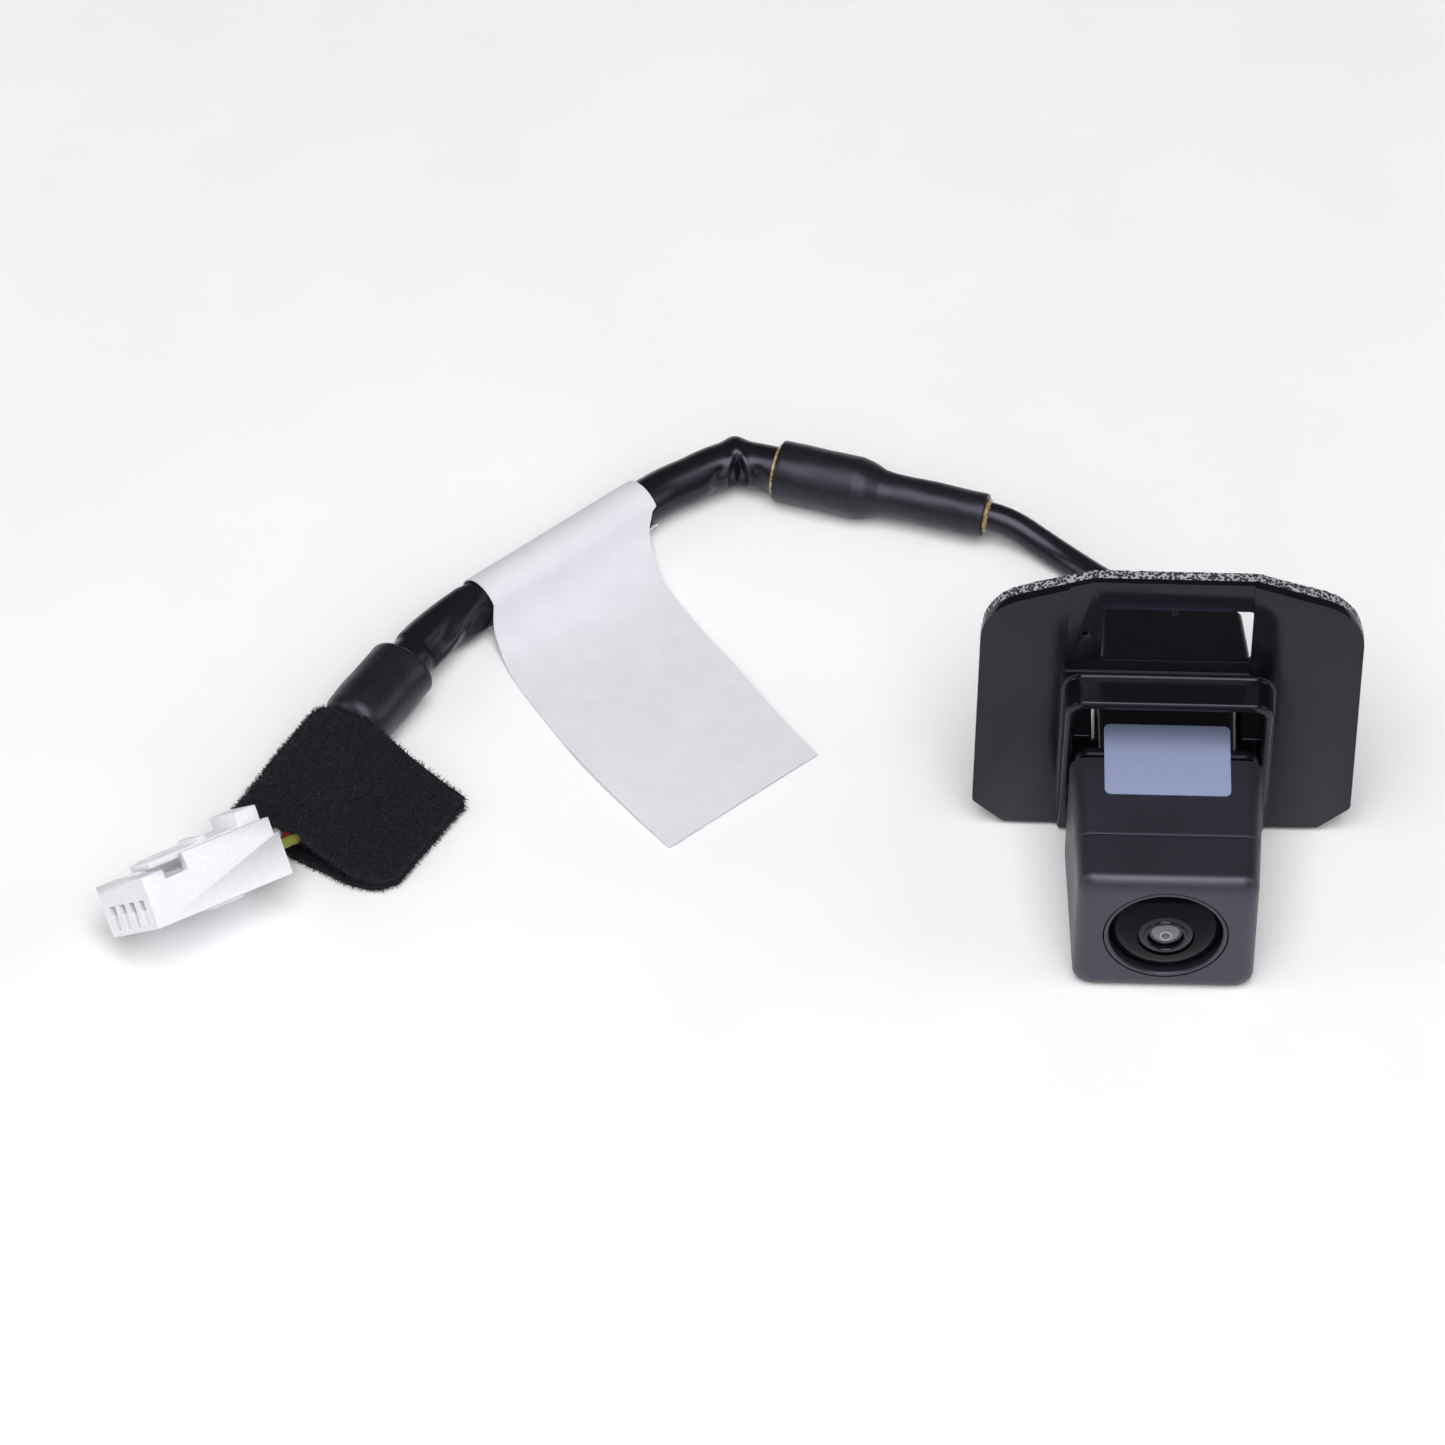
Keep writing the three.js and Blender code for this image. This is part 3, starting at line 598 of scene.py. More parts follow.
def soften(made: bpy.types.Object, width: float, steps: int = 3, over: float = 40.0) -> bpy.types.Object:
    """Rounds the edges of a piece.

    Args:
        made: the piece.
        width: the round's width in millimetres.
        steps: how many steps make the round.
        over: the angle in degrees past which an edge is rounded.

    Returns:
        The rounded piece.
    """
    name = made.name
    work = bmesh.new()
    work.from_mesh(made.data)
    bmesh.ops.dissolve_limit(work, angle_limit=math.radians(0.5), verts=work.verts, edges=work.edges)
    work.to_mesh(made.data)
    work.free()
    step = made.modifiers.new("round", "BEVEL")
    step.width, step.segments, step.limit_method = width * MM, steps, "ANGLE"
    step.angle_limit, step.loop_slide = math.radians(over), False
    result = evaluated(made, name)
    settle(result.data)
    result.name = name
    return result


def join(name: str, pieces: Sequence[bpy.types.Object]) -> bpy.types.Object:
    """Puts several closed shells into one object.

    Args:
        name: the new object's name.
        pieces: the shells, which are used up.

    Returns:
        The joined object.
    """
    work = bmesh.new()
    for made in pieces:
        work.from_mesh(made.data)
        bpy.data.objects.remove(made)
    mesh = bpy.data.meshes.new(name)
    work.to_mesh(mesh)
    work.free()
    mesh.shade_smooth()
    mesh.set_sharp_from_angle(angle=math.radians(CREASE_DEGREES))
    result = bpy.data.objects.new(name, mesh)
    bpy.context.collection.objects.link(result)
    return result


def smooth_route(points: Sequence[Point], per_span: int) -> Ring:
    """Runs one smooth curve through given points.

    Args:
        points: the places that the curve passes.
        per_span: how many steps there are between two of them.

    Returns:
        The curve's points.
    """
    held = [Vector(p) for p in points]
    held = [held[0] * 2 - held[1], *held, held[-1] * 2 - held[-2]]
    route: Ring = []
    for a, b, c, d in zip(held, held[1:], held[2:], held[3:]):
        gaps = [max((q - p).length, 1e-4) ** 0.5 for p, q in ((a, b), (b, c), (c, d))]
        leave = ((b - a) / gaps[0] - (c - a) / (gaps[0] + gaps[1]) + (c - b) / gaps[1]) * gaps[1]
        arrive = ((c - b) / gaps[1] - (d - b) / (gaps[1] + gaps[2]) + (d - c) / gaps[2]) * gaps[1]
        for k in range(per_span):
            t = k / per_span
            square, cube = t * t, t * t * t
            route.append(
                b * (2 * cube - 3 * square + 1)
                + leave * (cube - 2 * square + t)
                + c * (3 * square - 2 * cube)
                + arrive * (cube - square)
            )
    return [*route, held[-2]]


def route_length(route: Ring) -> float:
    """Returns the length of a route in millimetres."""
    return sum((b - a).length for a, b in zip(route, route[1:]))


def tube(
    name: str, route: Ring, radius: Callable[[float, float], float], steps: int = 40
) -> bpy.types.Object:
    """Makes a closed tube along a route.

    Args:
        name: the piece's name.
        route: its centre line.
        radius: gives the radius from the distance along, in millimetres, and the angle round from the
            level side, which is a quarter turn at the top.
        steps: how many steps make the round.

    Returns:
        The closed tube.
    """
    rings, along = [], 0.0
    for i, centre in enumerate(route):
        ahead = route[min(i + 1, len(route) - 1)] - route[max(i - 1, 0)]
        side = ahead.cross(UP).normalized()
        top = side.cross(ahead).normalized()
        if i:
            along += (centre - route[i - 1]).length
        ring = []
        for k in range(steps):
            angle = math.tau * k / steps
            reach = radius(along, angle)
            ring.append(centre + side * (reach * math.cos(angle)) + top * (reach * math.sin(angle)))
        rings.append(ring)
    return loft(name, rings)


def dress(
    made: bpy.types.Object, finish: Finish | PaintedLensFinish, body: str, slot: str, nodes: Sequence[str] = ()
) -> bpy.types.Object:
    """Gives a piece its finish, the body it rides on and the part's nodes that it stands for.

    Args:
        made: the piece.
        finish: its finish.
        body: the body that carries it.
        slot: the material slot's name; it is not used.
        nodes: the nodes that it replaces.

    Returns:
        The piece.
    """
    made.data.materials.clear()
    made.data.materials.append(finish.material())
    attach(made, body)
    if nodes:
        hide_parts(*nodes)
    LOG.info("%s: %s, %d faces", made.name, finish.name, len(made.data.polygons))
    return made


def bump(value: float, middle: float, width: float) -> float:
    """Returns a smooth hump, 1 at its middle and near 0 past two widths."""
    return math.exp(-(((value - middle) / width) ** 2))


def ramp(value: float, low: float, high: float) -> float:
    """Returns a smooth step from 0 at low to 1 at high."""
    share = min(max((value - low) / (high - low), 0.0), 1.0)
    return share * share * (3 - 2 * share)


# ---------- studio ----------


@dataclass
class Studio:
    """The camera, the soft lights and the pale floor.

    The camera looks along its azimuth and elevation, in degrees, from its distance behind the box's front
    face, and is moved across and up by the given amounts.
    """

    azimuth: float = -0.427
    elevation: float = 47.882
    roll: float = -1.599
    distance: float = 1598.5
    across: float = 59.104
    rise: float = -35.83
    focal: float = 296.133
    sensor: float = 36.0
    nearest: float = 0.1
    farthest: float = 20.0
    aim: Point = (-50.0, 10.0, 10.0)
    lamps: tuple[tuple[str, Point, float, float], ...] = (
        ("overhead", (-0.05, -0.4, 1.1), 0.9, 12.2),
        ("front", (0.0, -1.2, 0.8), 0.9, 3.2),
        ("left", (-1.1, -0.2, 0.6), 0.6, 2.4),
        ("right", (1.0, -0.1, 0.6), 0.6, 2.4),
    )
    room_light: float = 0.1
    floor_side: float = 6.0
    floor_gap: float = 0.02

    def camera(self) -> None:
        """Sets up the viewing camera."""
        a, e, r = (math.radians(v) for v in (self.azimuth, self.elevation, self.roll))
        level = Vector((math.cos(a), math.sin(a), 0))
        away = Vector((-math.sin(a), math.cos(a), 0))
        high = away * math.sin(e) + UP * math.cos(e)
        look = away * math.cos(e) - UP * math.sin(e)
        right = level * math.cos(r) - high * math.sin(r)
        top = level * math.sin(r) + high * math.cos(r)
        place = Vector((0, FRONT_Y, 0)) - right * self.across - top * self.rise - look * self.distance
        data = bpy.data.cameras.new("view")
        data.sensor_width = self.sensor
        data.lens = self.focal
        data.clip_start, data.clip_end = self.nearest, self.farthest
        view = bpy.data.objects.new("view", data)
        turn = Matrix((right, top, -look)).transposed()
        view.matrix_world = Matrix.Translation(place * MM) @ turn.to_4x4()
        bpy.context.collection.objects.link(view)
        bpy.context.scene.camera = view

    def lights(self) -> None:
        """Hangs the soft lights: a wide one overhead, one in front and one on each side."""
        aim = Vector(self.aim) * MM
        for name, place, side, watts in self.lamps:
            data = bpy.data.lights.new(name, "AREA")
            data.shape, data.size, data.energy = "SQUARE", side, watts
            lamp = bpy.data.objects.new(name, data)
            lamp.location = place
            lamp.rotation_mode = "QUATERNION"
            lamp.rotation_quaternion = (aim - Vector(place)).to_track_quat("-Z", "Y")
            bpy.context.collection.objects.link(lamp)
        world = bpy.data.worlds.new("room")
        bpy.context.scene.world = world
        world.use_nodes = True
        room = world.node_tree.nodes["Background"]
        room.inputs["Color"].default_value = linear("f4f5f8")
        room.inputs["Strength"].default_value = self.room_light

    def floor(self) -> None:
        """Lays the pale floor."""
        half = self.floor_side / 2 / MM
        corners = ((-half, -half), (half, -half), (half, half), (-half, half))
        floor = shape("floor", [(x, y, -self.floor_gap) for x, y in corners], [(0, 1, 2, 3)])
        paper = Finish("white_paper_sweep", "fafafb", "fdfdfd", 0.8, 40.0, 0.0)
        floor.data.materials.append(paper.material())

    def build(self) -> None:
        """Makes the whole studio."""
        self.camera()
        self.lights()
        self.floor()
        bpy.context.scene.view_settings.view_transform = "Standard"


# ---------- mounting plate ----------


@dataclass
class MountingPlate:
    """The plate with its window, the visor hood, the screw cheeks and the snap tabs."""

    front: float = 29.0
    thick: float = 1.3
    half: float = 25.7
    low: float = 0.7
    high: float = 48.3
    flat_half: float = 11.0
    shoulder: float = 43.1
    hood_half: float = 14.0
    hood_top: float = 30.5
    hood_wall: float = 1.4
    hood_corner: float = 2.8
    rim_top: float = 23.9
    rim_low: float = 28.0
    root_fillet: float = 0.5
    rim_round: float = 0.4
    window: tuple[float, float, float, float] = (-9.4, 10.7, 33.2, 43.2)
    pin_hole: tuple[float, float, float] = (-11.7, 38.3, 0.4)
    cheek_rear: float = 37.3
    tab_span: tuple[float, float] = (17.0, 21.0)
    tab_feet: tuple[float, float] = (9.0, 34.0)
    tab_reach: float = 6.5
    screw_back: float = 34.5

    @property
    def back(self) -> float:
        """The depth of the plate's rear face."""
        return self.front + self.thick

    def outline(self, inset: float = 0.0, notch_half: float = 13.3, notch_top: float = 29.8) -> Outline:
        """Draws the plate's outer outline, with the notch that the camera box fills.

        Args:
            inset: how far in from the plate's edge it runs.
            notch_half: half the notch's width.
            notch_top: the notch's top.

        Returns:
            The outline.
        """
        low, high, side = self.low + inset, self.high - inset, self.half - inset
        right = [(notch_half, low, 0), (21.4, low, 1.2), (side, 4.8, 1.2)]
        right += [(side, self.shoulder, 8.0), (self.flat_half, high, 2.5)]
        left = [(-x, z, r) for x, z, r in reversed(right)]
        return rounded([*right, *left, (-notch_half, notch_top, 2.2), (notch_half, notch_top, 2.2)], 8)

    def _arch(self) -> list[tuple[Vector, Vector]]:
        """Draws the hood's outer line, up one side, over the top and down the other.

        Returns:
            Its points, each with its outward direction.
        """
        half, top, corner = self.hood_half, self.hood_top, self.hood_corner
        line = []
        for k in range(13):
            line.append((Vector((half, self.low + (top - corner - self.low) * k / 12)), Vector((1, 0))))
        for centre, start in ((half - corner, 0.0), (corner - half, math.pi / 2)):
            for k in range(9):
                angle = start + k / 8 * math.pi / 2
                out = Vector((math.cos(angle), math.sin(angle)))
                line.append((Vector((centre, top - corner)) + out * corner, out))
        for k in range(12, -1, -1):
            line.append((Vector((-half, self.low + (top - corner - self.low) * k / 12)), Vector((-1, 0))))
        return line

    def _hood(self) -> bpy.types.Object:
        """Sweeps the hood's wall along its arch, from the plate to its slanted rim.

        Returns:
            The closed wall.
        """
        slope = (self.rim_low - self.rim_top) / (self.hood_top - self.low)
        fillet, edge, wall = self.root_fillet, self.rim_round, self.hood_wall
        quarter = [k / 4 * math.pi / 2 for k in range(5)]
        root = [
            (fillet - fillet * math.cos(q), self.front - fillet + fillet * math.sin(q))
            for q in reversed(quarter)
        ]
        heel = [
            (-wall, self.back - 0.2),
            (0.2 - wall, self.back),
            (-0.3, self.back),
            (fillet, self.front + 0.3),
        ]
        rings = []
        for place, out in self._arch():
            rim = self.rim_top + (self.hood_top - place.y) * slope
            outer = [(edge * math.cos(q) - edge, rim + edge - edge * math.sin(q)) for q in quarter]
            inner = [(edge - wall - edge * math.sin(q), rim + edge - edge * math.cos(q)) for q in quarter]
            ring = []
            for offset, back in (*root, *outer, *inner, *heel):
                spot = place + out * offset
                ring.append((spot.x, depth(back), spot.y))
            rings.append(ring)
        return loft("hood", rings)

    def _plate(self) -> bpy.types.Object:
        """Cuts the plate, sinks the panel round its window and rounds its edges.

        Returns:
            The plate.
        """
        left, right, low, high = self.window
        opening = rounded([(left, low, 0.5), (right, low, 0.5), (right, high, 0.5), (left, high, 0.5)], 4)
        x, z, radius = self.pin_hole
        plate = sheet_metal(
            "plate", [self.outline(), opening, circle(x, z, radius, 16)], depth(self.front), depth(self.back)
        )
        sunk = box("sunk", (-14.1, depth(20), 31.1), (10.6, depth(self.front + 0.4), 60))
        return soften(combine(plate, sunk, "DIFFERENCE"), 0.3)

    def _rear_details(self) -> list[bpy.types.Object]:
        """Makes the screw cheeks, the snap tabs and the tick over the window.

        Returns:
            The separate shells.
        """
        made = []
        root, tip = self.back - 0.4, self.back + self.tab_reach
        blocks = [(10.0, 13.95, self.front + 0.3, self.cheek_rear, 3.0, 18.0)]
        blocks += [(*self.tab_span, root, tip, z, z + 1.8) for z in self.tab_feet]
        blocks += [(*self.tab_span, tip - 1.6, tip, z + 0.4, z + 2.7) for z in self.tab_feet]
        for side in (-1, 1):
            for inner, outer, near, far, low, high in blocks:
                x0, x1 = sorted((side * inner, side * outer))
                made.append(soften(box("detail", (x0, depth(near), low), (x1, depth(far), high)), 0.3))
        tick = box("tick", (-0.15, depth(self.back - 0.4), 41.4), (0.5, depth(self.back + 1.1), 44.4))
        return [*made, soften(tick, 0.12)]

    def build(self) -> None:
        """Makes the bracket and its two side screws."""
        whole = join("mounting_bracket", [self._plate(), self._hood(), *self._rear_details()])
        dress(whole, ABS_GLOSS, "camera", "gloss_black_abs", ["bracket"])
        for side, label in ((-1, "left"), (1, "right")):
            screw = screw_mesh(f"side_screw_{label}", 1.9, 1.2, 0.85, 5.1)
            seat = Vector((side * self.hood_half, depth(self.screw_back), CABLE_HEIGHT))
            place = Matrix.Translation(seat * MM)
            screw.data.transform(place @ Matrix.Rotation(side * math.pi / 2, 4, "Y"))
            dress(screw, ZINC, "camera", "steel", [f"bracket_screw_{label}"])


def screw_mesh(name: str, head: float, height: float, shank: float, length: float) -> bpy.types.Object:
    """Makes a cross-recessed pan-head screw that stands on the origin with its head up.

    Args:
        name: the piece's name.
        head: the head's radius.
        height: the head's height.
        shank: the shank's radius.
        length: the shank's length.

    Returns:
        The screw.
    """
    tip = [(0.0, -length), (shank * 0.6, -length), (shank, 0.6 - length), (shank, 0.0)]
    dome = [(head, 0.0), (head, height * 0.45), (head * 0.9, height * 0.75), (head * 0.62, height * 0.94)]
    made = lathe(name, [*tip, *dome, (0.0, height)], (0, 0, 0), UP, 32)
    for reach, width in ((head * 0.62, head * 0.16), (head * 0.16, head * 0.62)):
        recess = box("recess", (-reach, -width, height * 0.4), (reach, width, height * 2))
        made = combine(made, recess, "DIFFERENCE")
    return made


@dataclass
class FoamGasket:
    """The foam pad on the back of the plate, with its torn cells along the cut edge."""

    plate: MountingPlate
    gap: float = 0.1
    thick: float = 1.9
    inset: float = 0.3
    cell: float = 0.3
    roughness: float = 0.1
    lump: float = 0.55
    skin: float = 0.1
    pin_radius: float = 0.5
    arch_half: float = 14.5
    arch_top: float = 31.2
    arch_inner: float = 13.0
    arch_band: tuple[float, float] = (28.0, 33.0)
    slot_lefts: tuple[float, float] = (-21.5, 16.5)
    slot_feet: tuple[float, float] = (8.5, 33.5)
    slot_size: tuple[float, float] = (5.0, 2.8)

    def _outer(self) -> Outline:
        """Draws the pad's edge, which goes round the window and the arch in one notch.

        Returns:
            The outline.
        """
        left, right, _, high = self.plate.window
        half, top = self.arch_half, self.arch_top
        floor, roof = self.arch_band
        outer = self.plate.outline(self.inset, half, top)
        outer = [(x, z) for x, z in outer if abs(x) > self.arch_inner or z > roof or z < floor]
        low_left, high_left = (left - 0.4, top), (left - 0.4, high + 1.3)
        low_right, high_right = (right + 0.4, top), (right + 0.4, high + 1.3)
        return [*outer, (-half, top), low_left, high_left, high_right, low_right, (half, top)]

    def build(self) -> None:
        """Cuts the pad, gives it an even skin of small faces and roughens it."""
        near = self.plate.back + self.gap
        pin_x, pin_z, _ = self.plate.pin_hole
        wide, tall = self.slot_size
        holes = [circle(pin_x, pin_z, self.pin_radius, 12)]
        for x in self.slot_lefts:
            for z in self.slot_feet:
                holes.append([(x, z), (x + wide, z), (x + wide, z + tall), (x, z + tall)])
        front, rear = depth(near + self.skin), depth(near + self.thick - self.skin)
        pad = sheet_metal("foam_pad", [self._outer(), *holes], front, rear)
        step = pad.modifiers.new("cells", "REMESH")
        step.mode, step.voxel_size = "VOXEL", self.cell * MM
        pad = evaluated(pad, "foam_pad")
        for vertex in pad.data.vertices:
            spot = vertex.co / (self.lump * MM)
            vertex.co += vertex.normal * (noise.noise(spot) * self.roughness * MM)
        settle(pad.data, 60)
        dress(pad, FOAM_PAINTED_PORE_SHADE, "camera", "foam_tape", ["foam_gasket"])


# ---------- camera box ----------


def section(back: float, half: float, low: float, high: float, corner: float, x: float = 0.0) -> list[Point]:
    """Draws one rounded rectangle across the lens axis.

    Args:
        back: its depth.
        half: half its width.
        low: its bottom.
        high: its top.
        corner: its corner radius.
        x: its middle.

    Returns:
        Its points, the same number whatever its size.
    """
    corners = [(x + half, low), (x + half, high), (x - half, high), (x - half, low)]
    outline = rounded([(cx, cz, corner) for cx, cz in corners], 8)
    full = []
    for i, (px, pz) in enumerate(outline):
        nx, nz = outline[(i + 1) % len(outline)]
        pieces = 8 if (i + 1) % 9 == 0 else 1
        for k in range(pieces):
            full.append((px + (nx - px) * k / pieces, depth(back), pz + (nz - pz) * k / pieces))
    return full


@dataclass
class CameraBox:
    """The front shell, the rear shell, the screws and the blank label; the seal between the shells is dressed
    with the lens parts.
    """

    half_front: float = 12.1
    half_rear: float = 13.05
    height: float = 21.4
    length: float = 22.5
    corner: float = 2.2
    edge: float = 1.8
    top_edge: float = 2.6
    seam: float = 8.7
    lens_hole: float = 8.45
    label_half: float = 8.5
    label_span: tuple[float, float] = (15.7, 28.3)

    def _half(self, back: float) -> float:
        """Returns half the shell's width at a depth."""
        return self.half_front + (self.half_rear - self.half_front) * back / self.length

    def _front_shell(self) -> bpy.types.Object:
        """Makes the front shell, hollow and open at the back, round the lens.

        Returns:
            The shell, with its lens hole.
        """
        rings = []
        for k in range(9):
            angle = math.pi / 2 * k / 8
            inset, back = 1 - math.sin(angle), self.edge * (1 - math.cos(angle))
            half, top = self._half(back) - self.edge * inset, self.height - self.top_edge * inset
            rings.append(section(back, half, self.edge * inset, top, self.corner))
        rings.append(section(self.edge + 0.4, self._half(self.edge + 0.4), 0.0, self.height, self.corner))
        for offset, dip in ((-0.5, 0.0), (-0.12, 0.0), (0.0, 0.05), (0.12, 0.0), (0.5, 0.0)):
            back = self.seam + offset
            rings.append(section(back, self._half(back) - dip, dip, self.height - dip, self.corner))
        for back, inset in ((self.length - 0.6, 0.0), (self.length - 0.2, 0.0), (self.length, 0.2)):
            rings.append(section(back, self._half(back) - inset, inset, self.height - inset, self.corner))
        rings.append(section(self.length, 9.6, 1.4, 20.0, 1.0))
        rings.append(section(3.2, 9.4, 1.6, 19.8, 1.0))
        cut = [(0.0, -1.0), (self.lens_hole, -1.0), (self.lens_hole, 4.0), (0.0, 4.0)]
        bore = lathe("bore", cut, (0.0, FRONT_Y, LENS_HEIGHT), Vector((0, 1, 0)), 128)
        return combine(loft("front_shell", rings), bore, "DIFFERENCE")

    def _rear_shell(self) -> bpy.types.Object:
        """Makes the rear shell: a screw flange, then the narrower body.

        Returns:
            The closed shell.
        """
        rings = []
        for back, inset in ((23.1, 0.25), (23.35, 0.0), (24.15, 0.0), (24.4, 0.25)):
            rings.append(section(back, 12.35 - inset, 0.3 + inset, 21.3 - inset, 2.0))
        rings.append(section(24.4, 10.0, 0.5, 21.1, 1.7))
        rings.append(section(24.75, 9.65, 0.5, 21.1, 1.6))
        for k in range(7):
            angle = math.pi / 2 * k / 6
            inset, back = 0.8 * (1 - math.cos(angle)), 37.2 + 0.8 * math.sin(angle)
            rings.append(section(back, 9.65 - inset, 0.5 + inset, 21.3 - inset, 1.6))
        return loft("rear_shell", rings)

    def _screws(self) -> bpy.types.Object:
        """Sets one screw at each corner of the flange, by a node tree that copies it to four points.

        Returns:
            The four screws as one piece.
        """
        screw = screw_mesh("screw_pattern", 1.15, 1.0, 0.7, 7.0)
        screw.data.transform(Matrix.Rotation(-math.pi / 2, 4, "X"))
        seats = [(x, depth(24.45), z) for x in (-11.0, 11.0) for z in (4.2, 17.4)]
        row = shape("housing_screws", seats, [])
        made = run_tree(row, copies_on_points(), {"Pattern": screw, "Finish": ZINC.material()})
        bpy.data.objects.remove(screw)
        return made

    def build(self) -> None:
        """Makes the shells, the screws and the label."""
        dress(self._front_shell(), ABS_GRAINED, "camera", "matte_black_plastic", ["front_housing"])
        dress(self._rear_shell(), ABS_GLOSS, "camera", "gloss_black_abs", ["rear_housing"])
        seats = [(level, side) for level in ("lower", "upper") for side in ("left", "right")]
        names = [f"housing_screw_{level}_{side}" for level, side in seats]
        dress(self._screws(), ZINC, "camera", "steel", names)
        half, (front, rear) = self.label_half, (depth(back) for back in self.label_span)
        corners = [(half, front, 0.9), (half, rear, 0.9), (-half, rear, 0.9), (-half, front, 0.9)]
        bottom = self.height + 0.04
        film = sheet_metal("box_label", [rounded(corners, 6)], bottom, bottom + 0.2, level=True)
        dress(soften(film, 0.06, 2), LABEL_BLUE, "camera", "label_blue", ["top_label"])


def new_tree(name: str, sockets: Sequence[tuple[str, str]]) -> bpy.types.NodeTree:
    """Starts a geometry tree.

    Args:
        name: the tree's name.
        sockets: the name and type of each input after the geometry.

    Returns:
        The tree, with its geometry sockets and its inputs.
    """
    tree = bpy.data.node_groups.new(name, "GeometryNodeTree")
    face = tree.interface
    face.new_socket("Geometry", in_out="INPUT", socket_type="NodeSocketGeometry")
    for label, kind in sockets:
        face.new_socket(label, in_out="INPUT", socket_type=kind)
    face.new_socket("Geometry", in_out="OUTPUT", socket_type="NodeSocketGeometry")
    return tree


def copies_on_points() -> bpy.types.NodeTree:
    """Builds the tree that puts one pattern piece on every point.

    Returns:
        The tree, with the pattern and its finish as inputs.
    """
    tree = new_tree("screws_on_seats", [("Pattern", "NodeSocketObject"), ("Finish", "NodeSocketMaterial")])
    given = add_node(tree, "NodeGroupInput").outputs
    pattern = add_node(tree, "GeometryNodeObjectInfo", inputs={"Object": given["Pattern"]})
    placed = add_node(
        tree,
        "GeometryNodeInstanceOnPoints",
        inputs={"Points": given["Geometry"], "Instance": pattern.outputs["Geometry"]},
    )
    finish_tree(tree, placed.outputs["Instances"], given["Finish"])
    return tree


def finish_tree(
    tree: bpy.types.NodeTree, instances: bpy.types.NodeSocket, finish: bpy.types.NodeSocket
) -> None:
    """Ends a tree in plain geometry with its material.

    Args:
        tree: the tree.
        instances: what it has made.
        finish: the input that holds the material.
    """
    real = add_node(tree, "GeometryNodeRealizeInstances", inputs={"Geometry": instances})
    painted = add_node(
        tree, "GeometryNodeSetMaterial", inputs={"Geometry": real.outputs["Geometry"], "Material": finish}
    )
    add_node(tree, "NodeGroupOutput", inputs={"Geometry": painted.outputs["Geometry"]})


def run_tree(made: bpy.types.Object, tree: bpy.types.NodeTree, values: dict) -> bpy.types.Object:
    """Runs a geometry tree on an object and keeps the plain mesh.

    Args:
        made: the object that the tree starts from.
        tree: the tree.
        values: its inputs by name.

    Returns:
        The new object.
    """
    name = made.name
    step = made.modifiers.new("tree", "NODES")
    step.node_group = tree
    for item in tree.interface.items_tree:
        if item.in_out == "INPUT" and item.name in values:
            step[item.identifier] = values[item.name]
    result = evaluated(made, name)
    result.name = name
    return result


# ---------- lens ----------


@dataclass
class LensGroup:
    """The window ring, the domed surround, the collar and the front lens.

    The parts behind them keep their own shape and only get a finish.
    """

    axis: Point = (0.0, FRONT_Y, LENS_HEIGHT)
    crown: float = 1.0
    apex: float = -0.1
    rim: float = 2.38

    def _turn(self, name: str, profile: Sequence[tuple[float, float]]) -> bpy.types.Object:
        """Turns a profile of radius and depth about the lens axis."""
        return lathe(name, profile, self.axis, Vector((0, 1, 0)), 128)

    def build(self) -> None:
        """Makes the visible lens parts and dresses the ones behind them."""
        bezel = [(7.7, 0.22), (7.85, 0.05), (8.1, 0.0), (8.25, 0.06), (8.33, 0.25), (8.33, 2.6), (7.7, 2.6)]
        bezel.append(bezel[0])
        dress(self._turn("window_ring", bezel), ANODISED, "camera", "lens_black", ["lens_bezel"])
        dome = [(3.82, -0.2), (4.6, -0.06), (5.4, 0.14), (6.1, 0.4), (6.7, 0.7), (7.2, 1.02), (7.5, 1.25)]
        dome += [(7.55, 1.35), (7.55, 2.5), (3.82, 2.5), (3.82, -0.2)]
        dress(self._turn("lens_surround", dome), LENS_BLACK, "camera", "gloss_black_abs", ["lens_shade"])
        collar = [(2.42, -0.25), (2.5, -0.36), (2.68, -0.4), (2.86, -0.36), (2.95, -0.28), (3.0, -0.12)]
        collar += [(3.5, 0.0), (3.66, 0.06), (3.74, 0.2), (3.74, 3.0), (2.42, 3.0), (2.42, -0.25)]
        dress(self._turn("lens_collar", collar), COLLAR, "camera", "lens_black", ["lens_retainer"])
        sweep = [math.pi / 2 * k / 14 for k in range(15)]
        front = [(self.rim * math.sin(a), self.apex + self.crown * (1 - math.cos(a))) for a in sweep]
        glass = self._turn("front_glass", [*front, (self.rim, 3.0), (0.0, 3.0)])
        dress(glass, FRONT_LENS_PAINTED_RINGS, "camera", "lens_glass", ["front_lens"])
        for nodes, finish in (
            (("lens_barrel",), ANODISED),
            (("lens_oring", "housing_seal", "inner_cable"), RUBBER),
            (("lens_spacer",), COLLAR),
            (("middle_lens", "rear_lens", "infrared_filter"), INNER_GLASS),
            (("image_sensor", "board_header"), CHIP),
            (("sensor_board", "processor_board"), BOARD),
            (("processor_shield",), ZINC),
            (("cable_socket",), NYLON),
        ):
            for node in nodes:
                paint_node(node, finish)


def paint_node(node: str, finish: Finish) -> None:
    """Gives one of the part's own nodes its finish.

    Args:
        node: the node.
        finish: its finish.
    """
    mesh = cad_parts[node].data
    mesh.materials.clear()
    mesh.materials.append(finish.material())
    LOG.info("%s: %s", node, finish.name)


